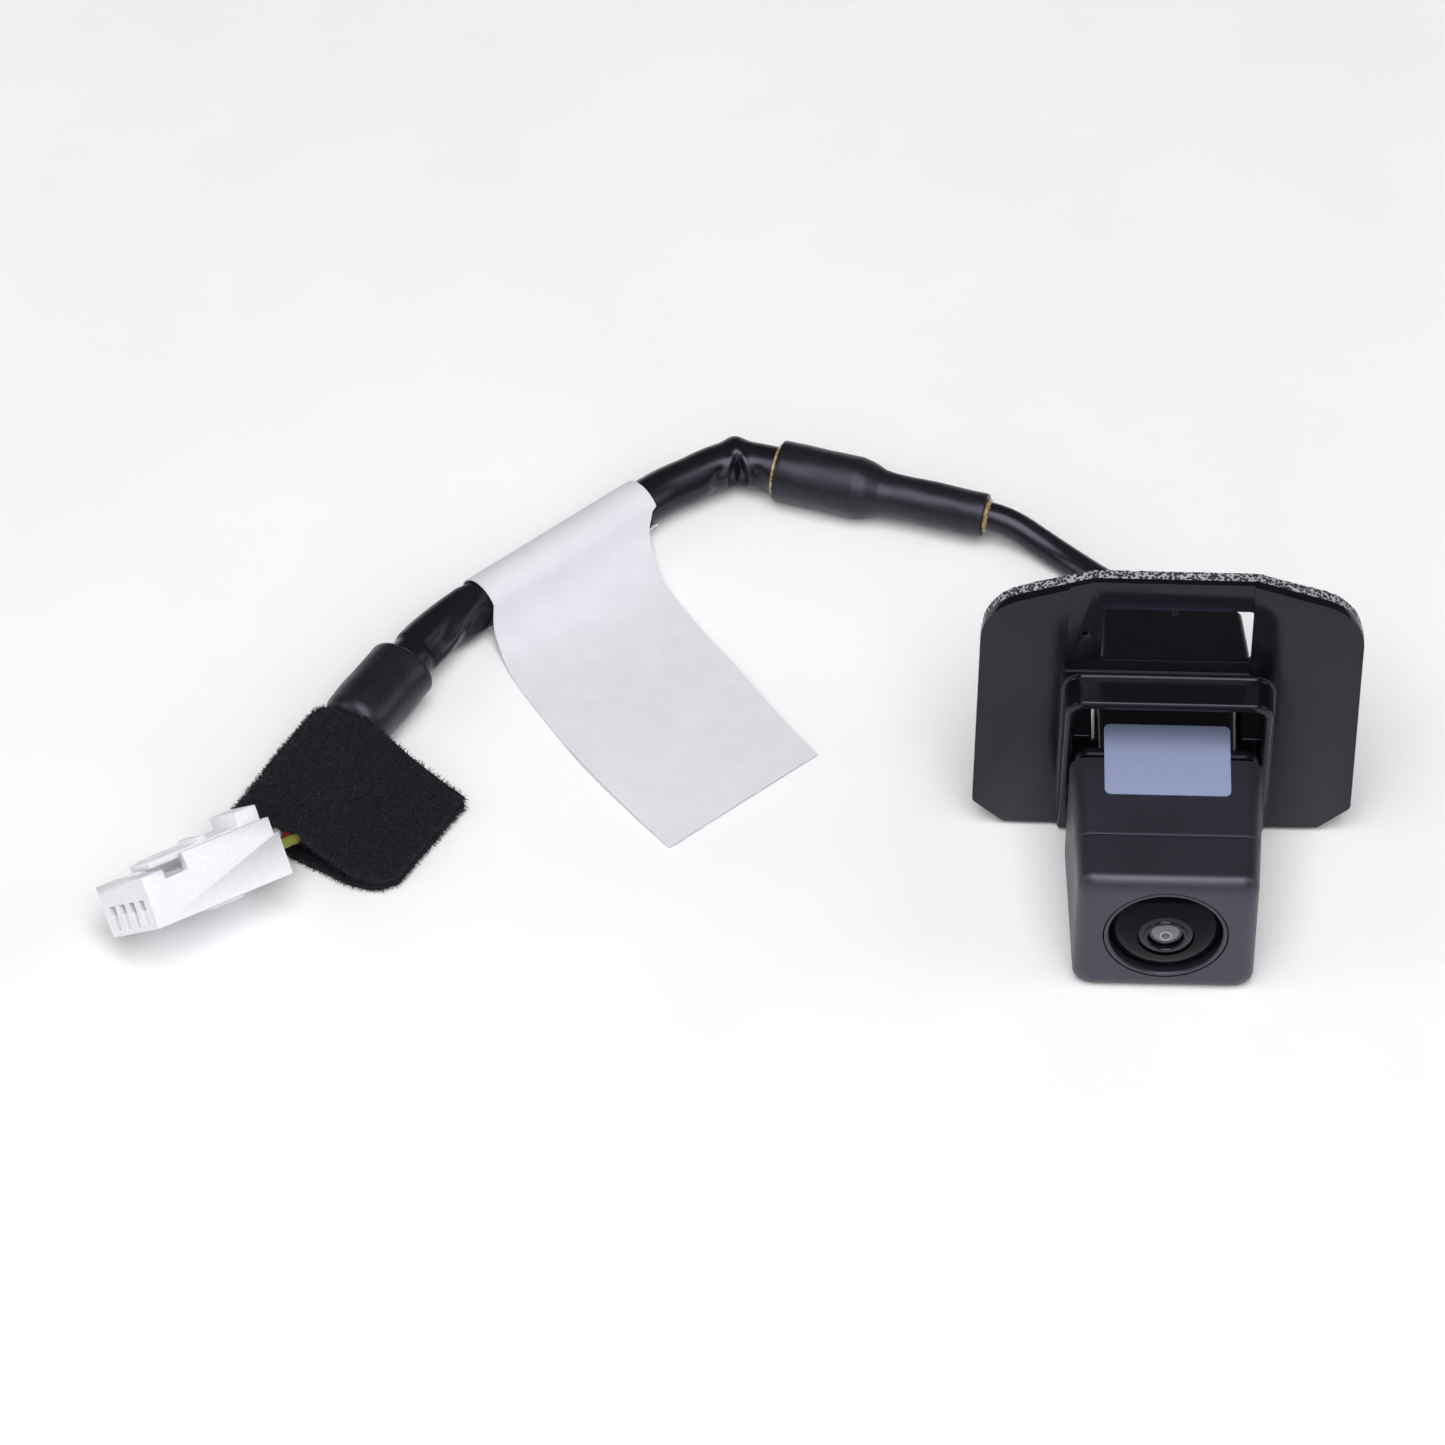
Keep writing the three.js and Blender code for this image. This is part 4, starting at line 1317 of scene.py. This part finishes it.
@dataclass
class RearEnd:
    """The rubber boot behind the camera box and the grommet that the cable comes out of."""

    x: float = 1.4
    half: float = 10.2
    low: float = 0.9
    high: float = 21.3
    front: float = 38.3
    rear: float = 50.0
    corner: float = 1.2
    straight: float = 41.0
    taper: float = 0.55
    edge: float = 0.4
    grommet_x: float = 0.8

    def build(self) -> None:
        """Makes the boot and the ribbed grommet."""
        rings = [section(self.front, self.half - 0.3, self.low + 0.3, self.high - 0.3, self.corner, self.x)]
        for back in (self.front + 0.3, self.straight):
            rings.append(section(back, self.half, self.low, self.high, self.corner, self.x))
        half, x = self.half - self.taper, self.x - self.taper
        for k in range(7):
            angle = math.pi / 2 * k / 6
            inset = self.edge * (1 - math.cos(angle))
            back = self.rear - self.edge + self.edge * math.sin(angle)
            rings.append(section(back, half - inset, self.low + inset, self.high - inset, self.corner, x))
        dress(loft("rear_rubber_boot", rings), RUBBER, "camera", "black_rubber", ["rear_boot"])
        profile = [(0.0, 0.1), (4.35, 0.1), (4.4, 0.3), (4.4, 1.1), (4.1, 1.4), (3.5, 1.6)]
        for back in (2.0, 3.1, 4.2):
            radius = 3.75 - (back - 2.0) * 0.28
            profile += [(radius - 0.3, back), (radius, back + 0.2)]
            profile += [(radius, back + 0.6), (radius - 0.3, back + 0.8)]
        profile += [(2.95, 5.4), (2.9, 5.8), (2.7, 6.0), (0.0, 6.0)]
        start = (self.grommet_x, depth(self.rear), CABLE_HEIGHT)
        grommet = lathe("ribbed_grommet", profile, start, Vector((0, 1, 0)), 64)
        dress(grommet, RUBBER, "camera", "black_rubber", ["cable_grommet"])


# ---------- pigtail ----------


@dataclass
class Run:
    """A straight level stretch of the pigtail, between two places on the plan."""

    start: tuple[float, float]
    end: tuple[float, float]
    height: float

    @property
    def origin(self) -> Vector:
        """Its first point."""
        return Vector((*self.start, self.height))

    @property
    def length(self) -> float:
        """Its length."""
        return (Vector(self.end) - Vector(self.start)).length

    @property
    def along(self) -> Vector:
        """Its direction."""
        return (Vector((*self.end, 0)) - Vector((*self.start, 0))).normalized()

    @property
    def across(self) -> Vector:
        """The level direction to its left."""
        return Vector((-self.along.y, self.along.x, 0))

    def at(self, along: float, out: float, height: float) -> Vector:
        """Returns a place from its distance along, its distance out and its height."""
        place = self.origin + self.along * along + self.across * out
        return Vector((place.x, place.y, height))


@dataclass
class Pigtail:
    """The camera cable, the shrunk splice, the glossy sleeve with its label, and the end shrink."""

    cable_radius: float = 2.0
    sleeve_radius: float = 3.2
    cable_route: tuple[Point, ...] = (
        (0.8, 28.5, 10.5),
        (0.8, 30.0, 10.4),
        (0.5, 31.7, 9.8),
        (0.0, 33.7, 8.6),
        (-1.0, 36.2, 6.9),
        (-2.1, 38.1, 5.6),
        (-3.6, 40.1, 4.3),
        (-5.5, 42.2, 3.2),
        (-7.9, 44.5, 2.5),
        (-10.6, 47.0, 2.2),
        (-13.4, 49.3, 2.3),
        (-16.1, 51.2, 2.8),
        (-18.9, 52.9, 3.6),
        (-20.6, 53.65, 4.05),
        (-22.3, 54.2, 4.35),
    )
    sleeve_route: tuple[Point, ...] = (
        (-53.66, 62.6, 4.4),
        (-56.0, 63.15, 4.4),
        (-58.6, 63.4, 4.5),
        (-61.4, 62.4, 4.4),
        (-64.9, 60.4, 4.1),
        (-68.4, 58.3, 3.9),
        (-71.5, 55.8, 3.8),
        (-75.9, 51.92, 3.8),
        (-80.3, 48.04, 3.8),
        (-84.7, 44.16, 3.8),
        (-89.1, 40.28, 3.8),
        (-93.5, 36.4, 3.8),
        (-97.4, 32.4, 3.9),
        (-100.6, 28.4, 4.2),
        (-103.07, 24.42, 4.5),
    )

    splice: Run = field(default_factory=lambda: Run((-23.8, 54.6), (-52.5, 62.3), 4.4))
    end: Run = field(default_factory=lambda: Run((-103.7, 23.4), (-110.6, 12.1), 4.5))
    kink: float = 6.3
    unevenness: float = 0.14
    crease: tuple[float, float] = (50.8, 65.0)

    def _cable(self) -> tuple[bpy.types.Object, Ring]:
        """Makes the camera cable, which runs on into the splice's glue.

        Returns:
            The cable, and its route up to the splice.
        """
        route = smooth_route(self.cable_route, 8)
        inside = smooth_route((*self.cable_route, tuple(self.splice.at(0.1, 0, self.splice.height))), 8)
        return tube("camera_lead", inside, lambda along, angle: self.cable_radius, 32), route

    def _kink_depth(self, along: float, degrees: float) -> float:
        """Gives how far the kink folds the sleeve's wall in: a bell-shaped pocket with a rib down its middle.

        Args:
            along: the distance from the kink.
            degrees: the angle round from the level side behind; 132 faces up and forward.

        Returns:
            The depth, negative where the wall stands out.
        """
        span = abs(along)
        front = ramp(degrees, 100, 122) * (1 - ramp(degrees, 196, 222))
        width = 0.45 + 1.9 * ramp(degrees, 108, 180)
        pocket = ramp(width - span, -0.4, 0.75) * front
        lip = bump(span, width + 0.7, 0.75) * front
        flat = bump(span, width + 2.2, 1.0) * ramp(degrees, 125, 150) * (1 - ramp(degrees, 200, 225))
        apex = bump(span, 0.0, 0.9) * max(0.0, math.cos(math.radians(degrees - 45)))
        rib = 1 - 0.65 * bump(along, 0.0, 0.5)
        return pocket * rib - 0.16 * lip + 0.3 * flat - 0.6 * apex

    def _crease_depth(self, along: float, degrees: float) -> float:
        """Gives how far the sleeve is dented before the end shrink, each side of a slanting ridge.

        Args:
            along: the distance along the sleeve.
            degrees: the angle round from the level side behind.

        Returns:
            The depth, negative where the wall stands out.
        """
        first, last = self.crease
        share = ramp(along, first - 0.5, first + 2.0) * (1 - ramp(along, last - 1.2, last))
        off = degrees - 120 - 62 * ramp(along, first + 1.0, last - 2.5)
        ridge = 0.3 * bump(off, 0, 15)
        dents = 0.4 * bump(off, -42, 26) + 0.45 * bump(off, 40, 26)
        wide = 0.35 * math.cos(math.radians(2 * (degrees - 34)))
        return share * (dents - ridge - wide)

    def _sleeve_reach(self, along: float, angle: float) -> float:
        """Gives the sleeve's radius: round, but folded in at the kink and creased before the end shrink.

        Args:
            along: the distance from the splice.
            angle: the angle round from the level side behind.

        Returns:
            The radius.
        """
        degrees = math.degrees(angle)
        dent = self._kink_depth(along - self.kink, degrees) + self._crease_depth(along, degrees)
        return self.sleeve_radius - dent

    def _shrink(
        self, name: str, run: Run, profile: Sequence[tuple[float, float]], seed: float, wide: float = 1.0
    ) -> bpy.types.Object:
        """Makes a shrunk tube over a straight run.

        Args:
            name: the piece's name.
            run: where it lies.
            profile: pairs of distance along and radius.
            seed: shifts the pattern of its unevenness.
            wide: how many times wider it is than high.

        Returns:
            The closed tube, with a small hollow at each end.
        """
        steps, rings = 64, []
        rows = [(profile[0][0], profile[0][1] - 0.7)]
        for (a, ra), (b, rb) in zip(profile, profile[1:]):
            count = max(1, round((b - a) / 0.4))
            rows += [(a + (b - a) * k / count, ra + (rb - ra) * k / count) for k in range(count)]
        rows += [profile[-1], (profile[-1][0], profile[-1][1] - 0.7)]
        for along, radius in rows:
            ring = []
            for k in range(steps):
                angle = math.tau * k / steps
                out = run.across * (wide * math.cos(angle)) + UP * math.sin(angle)
                spot = run.origin + run.along * along
                wave = noise.noise(Vector((along * 0.22 + seed, out.dot(run.across) * 1.1, out.z * 1.1)))
                ring.append(spot + out * (radius + self.unevenness * wave))
            rings.append(ring)
        return loft(name, rings)

    def _glue(self, name: str, run: Run, at: float, way: float, radius: float) -> bpy.types.Object:
        """Makes an uneven bead of set glue squeezed out of a shrink's mouth.

        Args:
            name: the piece's name.
            run: where the shrink lies.
            at: the distance of its mouth along the run.
            way: 1 if the bead stands forward along the run, -1 if back.
            radius: the bead's radius.

        Returns:
            The bead.
        """
        start = run.origin + run.along * at
        profile = [(0.04, radius * 0.94), (0.2, radius), (0.5, radius * 0.96), (0.7, radius * 0.8)]
        rings, steps = [], 48
        for along, reach in profile:
            ring = []
            for k in range(steps):
                angle = math.tau * k / steps
                out = run.across * math.cos(angle) + UP * math.sin(angle)
                lump = noise.noise(out * 1.7 + Vector((at, 0, 0)))
                ring.append(start + run.along * (way * along) + out * (reach * (1 + 0.09 * lump)))
            rings.append(ring)
        return loft(name, rings)

    def build(self) -> None:
        """Makes every piece of the pigtail."""
        cable, cable_line = self._cable()
        dress(cable, CABLE_JACKET, "camera", "black_rubber", ["camera_cable"])
        length = self.splice.length
        profile = [(0.0, 3.0), (0.35, 3.1), (length * 0.45, 3.08), (length * 0.5, 3.2), (length * 0.57, 4.0)]
        profile += [(length * 0.62, 4.35), (length * 0.8, 4.3), (length - 0.3, 4.3), (length, 4.2)]
        splice = self._shrink("splice_heat_shrink", self.splice, profile, 3.0)
        dress(splice, HEAT_SHRINK, "camera", "heat_shrink", ["splice_shrink"])
        near = self._glue("glue_bead_camera_side", self.splice, 0.0, -1.0, 2.45)
        dress(near, HOT_MELT, "camera", "amber_glue", ["glue_ring_camera_side"])
        far = self._glue("glue_bead_harness_side", self.splice, length, 1.0, 3.6)
        dress(far, HOT_MELT, "camera", "amber_glue", ["glue_ring_harness_side"])
        tuple(c * MM for c in self.cable_route[0])
        route_length(cable_line) * MM
        [tuple(p * MM) for p in cable_line]
        sleeve_line = smooth_route(self.sleeve_route, 14)
        first = self.splice.at(self.splice.length - 0.1, 0, self.splice.height)
        last = self.end.at(0.1, 0, self.end.height)
        inside = smooth_route((tuple(first), *self.sleeve_route, tuple(last)), 22)
        sleeve = tube("glossy_sleeve", inside, self._sleeve_reach, 96)
        dress(sleeve, SLEEVE_TUBE, "camera", "sleeve_pvc", ["harness_sleeve"])
        length = self.end.length
        profile = [(0.0, 4.2), (0.3, 4.35), (length * 0.6, 4.35)]
        profile += [(length - 1.6, 4.25), (length - 0.6, 3.9), (length, 3.1)]
        cap = self._shrink("end_heat_shrink", self.end, profile, 9.0, 1.14)
        dress(cap, HEAT_SHRINK, "camera", "heat_shrink", ["end_shrink"])
        bead = self._glue("glue_bead_end", self.end, 0.0, -1.0, 3.7)
        dress(bead, HOT_MELT, "camera", "amber_glue", ["glue_ring_end"])
        on_sleeve = [bead, cap, *FlagLabel().build()]
        on_sleeve += [*LoopTape(self.end).build(), *Connector(self.end).build()]
        tuple(c * MM for c in self.sleeve_route[0])
        route_length(sleeve_line) * MM


@dataclass
class FlagLabel:
    """The blank white label: wrapped round the sleeve, its two ends stuck together as a flag."""

    radius: float = 3.65
    thick: float = 0.16
    first: float = -20.0
    last: float = -325.0
    run: Run = field(default_factory=lambda: Run((-71.5, 55.8), (-93.5, 36.4), 3.8))
    flag: tuple[tuple[float, float, float, float], ...] = (
        (4.6, 3.4, 2.6, 30.6),
        (6.9, 1.3, 3.6, 31.4),
        (10.5, 0.45, 5.0, 32.6),
        (20.0, 0.35, 6.8, 34.4),
        (30.0, 0.7, 8.0, 35.8),
        (40.0, 0.5, 9.2, 36.3),
        (48.6, 0.35, 9.8, 36.4),
    )

    def build(self) -> list[bpy.types.Object]:
        """Returns:
            The label, in a list.
        """
        run, rows = self.run, []
        for k in range(49):
            angle = math.radians(self.first + (self.last - self.first) * k / 48)
            out, height = self.radius * math.cos(angle), run.height + self.radius * math.sin(angle)
            rows.append((out, height, 0.0, run.length))
        bend = [(rows[-1][0], rows[-1][1], 0.6), *((out, z, near) for out, z, near, _ in self.flag)]
        far = [(rows[-1][0], rows[-1][1], run.length), *((out, z, end) for out, z, _, end in self.flag)]
        near_line, far_line = smooth_route(bend, 8), smooth_route(far, 8)
        rows += [(a.x, a.y, a.z, b.z) for a, b in zip(near_line[1:], far_line[1:])]
        columns = 28
        points = []
        for out, height, near, end in rows:
            for k in range(columns + 1):
                share = k / columns
                curl = 0.12 * math.sin(share * math.pi) * ramp(out, 6, 30)
                points.append(run.at(near + (end - near) * share, out, height + curl))
        film = shape("flag_film", points, grid(len(rows), columns + 1, False, False))
        step = film.modifiers.new("thickness", "SOLIDIFY")
        step.thickness, step.offset = self.thick * MM, 0.0
        film = evaluated(film, "flag_film")
        settle(film.data)
        dress(film, LABEL_FILM, "camera", "white_film", ["flag_label"])
        return [film]


@dataclass
class LoopTape:
    """The brushed fleece tape, folded round the wires with its ends lying together, and its loose pile."""

    end: Run
    start: float = 0.5
    fold: float = -5.3
    thick: float = 1.0
    sag: float = 2.4
    fibre: float = 0.8
    fibre_root: float = 0.06
    fibre_tip: float = 0.01
    density: float = 12.0
    path: tuple[Point, ...] = (
        (24.3, 0.6, 16.4),
        (22.6, 0.6, 18.9),
        (19.2, 0.6, 20.1),
        (14.0, 0.6, 20.3),
        (4.0, 0.6, 20.3),
        (1.4, 0.9, 20.3),
        (0.2, 2.2, 20.3),
        (0.1, 3.8, 20.3),
        (0.9, 5.7, 20.3),
        (2.8, 7.1, 20.3),
        (5.6, 7.6, 20.3),
        (9.0, 7.5, 20.3),
        (12.2, 6.6, 20.3),
        (15.6, 4.9, 20.3),
        (19.2, 3.6, 20.1),
        (22.6, 2.5, 18.9),
        (24.3, 2.0, 16.4),
    )

    def _pile_tree(self) -> bpy.types.NodeTree:
        """Builds the tree that stands short fibres on a cloth, each turned at random.

        Returns:
            The tree, with the pile's density, length, seed and finish as inputs.
        """
        sockets = [("Density", "NodeSocketFloat"), ("Fibre Length", "NodeSocketFloat")]
        sockets += [("Seed", "NodeSocketInt"), ("Finish", "NodeSocketMaterial")]
        tree = new_tree("brushed_pile", sockets)
        given = add_node(tree, "NodeGroupInput").outputs
        scattered = add_node(
            tree,
            "GeometryNodeDistributePointsOnFaces",
            inputs={"Mesh": given["Geometry"], "Density": given["Density"], "Seed": given["Seed"]},
        )
        fibre = add_node(
            tree,
            "GeometryNodeMeshCone",
            {"fill_type": "NONE"},
            {
                "Vertices": 3,
                "Radius Top": self.fibre_tip * MM,
                "Radius Bottom": self.fibre_root * MM,
                "Depth": given["Fibre Length"],
            },
        )
        lean = add_node(
            tree,
            "FunctionNodeRandomValue",
            {"data_type": "FLOAT_VECTOR"},
            {0: (-1.0, -1.0, -3.14), 1: (1.0, 1.0, 3.14), "Seed": given["Seed"]},
        )
        turned = add_node(
            tree,
            "FunctionNodeRotateRotation",
            {"rotation_space": "LOCAL"},
            {"Rotation": scattered.outputs["Rotation"], "Rotate By": lean.outputs[0]},
        )
        placed = add_node(
            tree,
            "GeometryNodeInstanceOnPoints",
            inputs={
                "Points": scattered.outputs["Points"],
                "Instance": fibre.outputs["Mesh"],
                "Rotation": turned.outputs["Rotation"],
            },
        )
        finish_tree(tree, placed.outputs["Instances"], given["Finish"])
        return tree

    def build(self) -> list[bpy.types.Object]:
        """Returns:
            The tape and its pile.
        """
        foot = Run(self.end.end, tuple(Vector(self.end.end) + self.end.along.xy), self.end.height)
        line = smooth_route(self.path, 6)
        columns, points = 40, []
        for i, place in enumerate(line):
            for k in range(columns + 1):
                along = self.start + place.z * k / columns
                spot = foot.at(along, place.x + self.fold, place.y)
                ruffle = noise.noise(Vector((i * 0.12, k * 0.12, 0.0))) * 0.18
                sag = self.sag * ramp(along, 7.0, 20.8) * max(place.y - 0.6, 0.0) / 7.0
                points.append(spot + UP * (ruffle - sag))
        cloth = shape("fleece_tape", points, grid(len(line), columns + 1, False, False))
        step = cloth.modifiers.new("thickness", "SOLIDIFY")
        step.thickness, step.offset = self.thick * 0.8 * MM, 0.0
        cloth = evaluated(cloth, "fleece_tape")
        settle(cloth.data, 70)
        pile = cloth.copy()
        pile.data = cloth.data.copy()
        pile.name = "fleece_pile"
        bpy.context.collection.objects.link(pile)
        values = {"Density": self.density / MM**2, "Fibre Length": self.fibre * MM, "Seed": 7}
        pile = run_tree(pile, self._pile_tree(), {**values, "Finish": FLEECE.material()})
        dress(cloth, FLEECE, "camera", "loop_tape", ["loop_tape"])
        dress(pile, FLEECE, "camera", "loop_tape")
        length = route_length([Vector((p.x, p.y, 0)) for p in line])
        return [cloth, pile]


@dataclass
class Connector:
    """The white plug, its latch arm and retainer, its contacts and the four wires that enter it."""

    end: Run
    place: Point = (-121.8, -12.6, 6.8)
    forward: Point = (-0.75, -0.63, 0.2)
    across: Point = (0.5618, -0.4488, 0.6949)
    pitch: float = 2.4
    bundle_pitch: float = 1.6
    wire_radius: float = 0.7

    def _softened(self, node: str, name: str, width: float) -> bpy.types.Object:
        """Makes a copy of one of the part's nodes with its edges rounded.

        Args:
            node: the node.
            name: the new piece's name.
            width: the round's width.

        Returns:
            The new piece.
        """
        made = bpy.data.objects.new(name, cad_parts[node].data.copy())
        bpy.context.collection.objects.link(made)
        settle(made.data)
        return soften(made, width, 2)

    def build(self) -> list[bpy.types.Object]:
        """Makes the plug and its wires.

        Returns:
            The pieces.
        """
        made = []
        for node, name, body in (
            ("connector_housing", "plug_housing", "camera"),
            ("latch_arm", "plug_latch", "latch"),
            ("terminal_retainer", "plug_retainer", "retainer"),
        ):
            made.append(dress(self._softened(node, name, 0.16), NYLON, body, "white_nylon", [node]))
        forward = Vector(self.forward).normalized()
        row = Vector(self.across)
        row = (row - forward * row.dot(forward)).normalized()
        tail = Run(self.end.end, tuple(Vector(self.end.end) + self.end.along.xy), self.end.height)
        slots = ("wire_black", "wire_grey", "wire_red", "wire_olive")
        for i, (finish, slot) in enumerate(zip(WIRE_FINISHES, slots)):
            side, spread = (i - 1.5) * self.bundle_pitch, (i - 1.5) * self.pitch
            bundle = ((0.3, 0, 4.5), (3, 0.1, 4.5), (11, 0.9, 4.2), (19.5, 2.1, 3.7))
            stops = [tail.at(d, out + side, z) for d, out, z in bundle]
            for back, share in ((3.2, 0.82), (0.3, 1.0)):
                stops.append(Vector(self.place) - forward * back + row * (spread * share))
            line = smooth_route(stops, 10)
            wire = tube(f"insulated_wire_{i + 1}", line, lambda along, angle: self.wire_radius, 20)
            made.append(dress(wire, finish, "camera", slot, [f"wire_{i + 1}"]))
            paint_node(f"terminal_{i + 1}", TINNED_BRASS)
            made.append(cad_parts[f"terminal_{i + 1}"])
        return made


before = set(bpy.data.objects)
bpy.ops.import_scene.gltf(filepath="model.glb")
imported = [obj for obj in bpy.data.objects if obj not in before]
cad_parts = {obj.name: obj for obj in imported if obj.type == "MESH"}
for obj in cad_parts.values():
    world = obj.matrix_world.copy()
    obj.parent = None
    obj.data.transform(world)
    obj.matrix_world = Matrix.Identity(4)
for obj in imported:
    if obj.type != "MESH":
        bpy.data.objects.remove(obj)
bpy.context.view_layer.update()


def main() -> None:
    """Builds the object from its camera out: studio, pigtail, plate, box, lens and rear end."""
    logging.basicConfig(level=logging.INFO, format="%(relativeCreated)d %(message)s")
    Studio().build()
    Pigtail().build()
    plate = MountingPlate()
    plate.build()
    FoamGasket(plate).build()
    CameraBox().build()
    LensGroup().build()
    RearEnd().build()


if __name__ == "__main__":
    main()
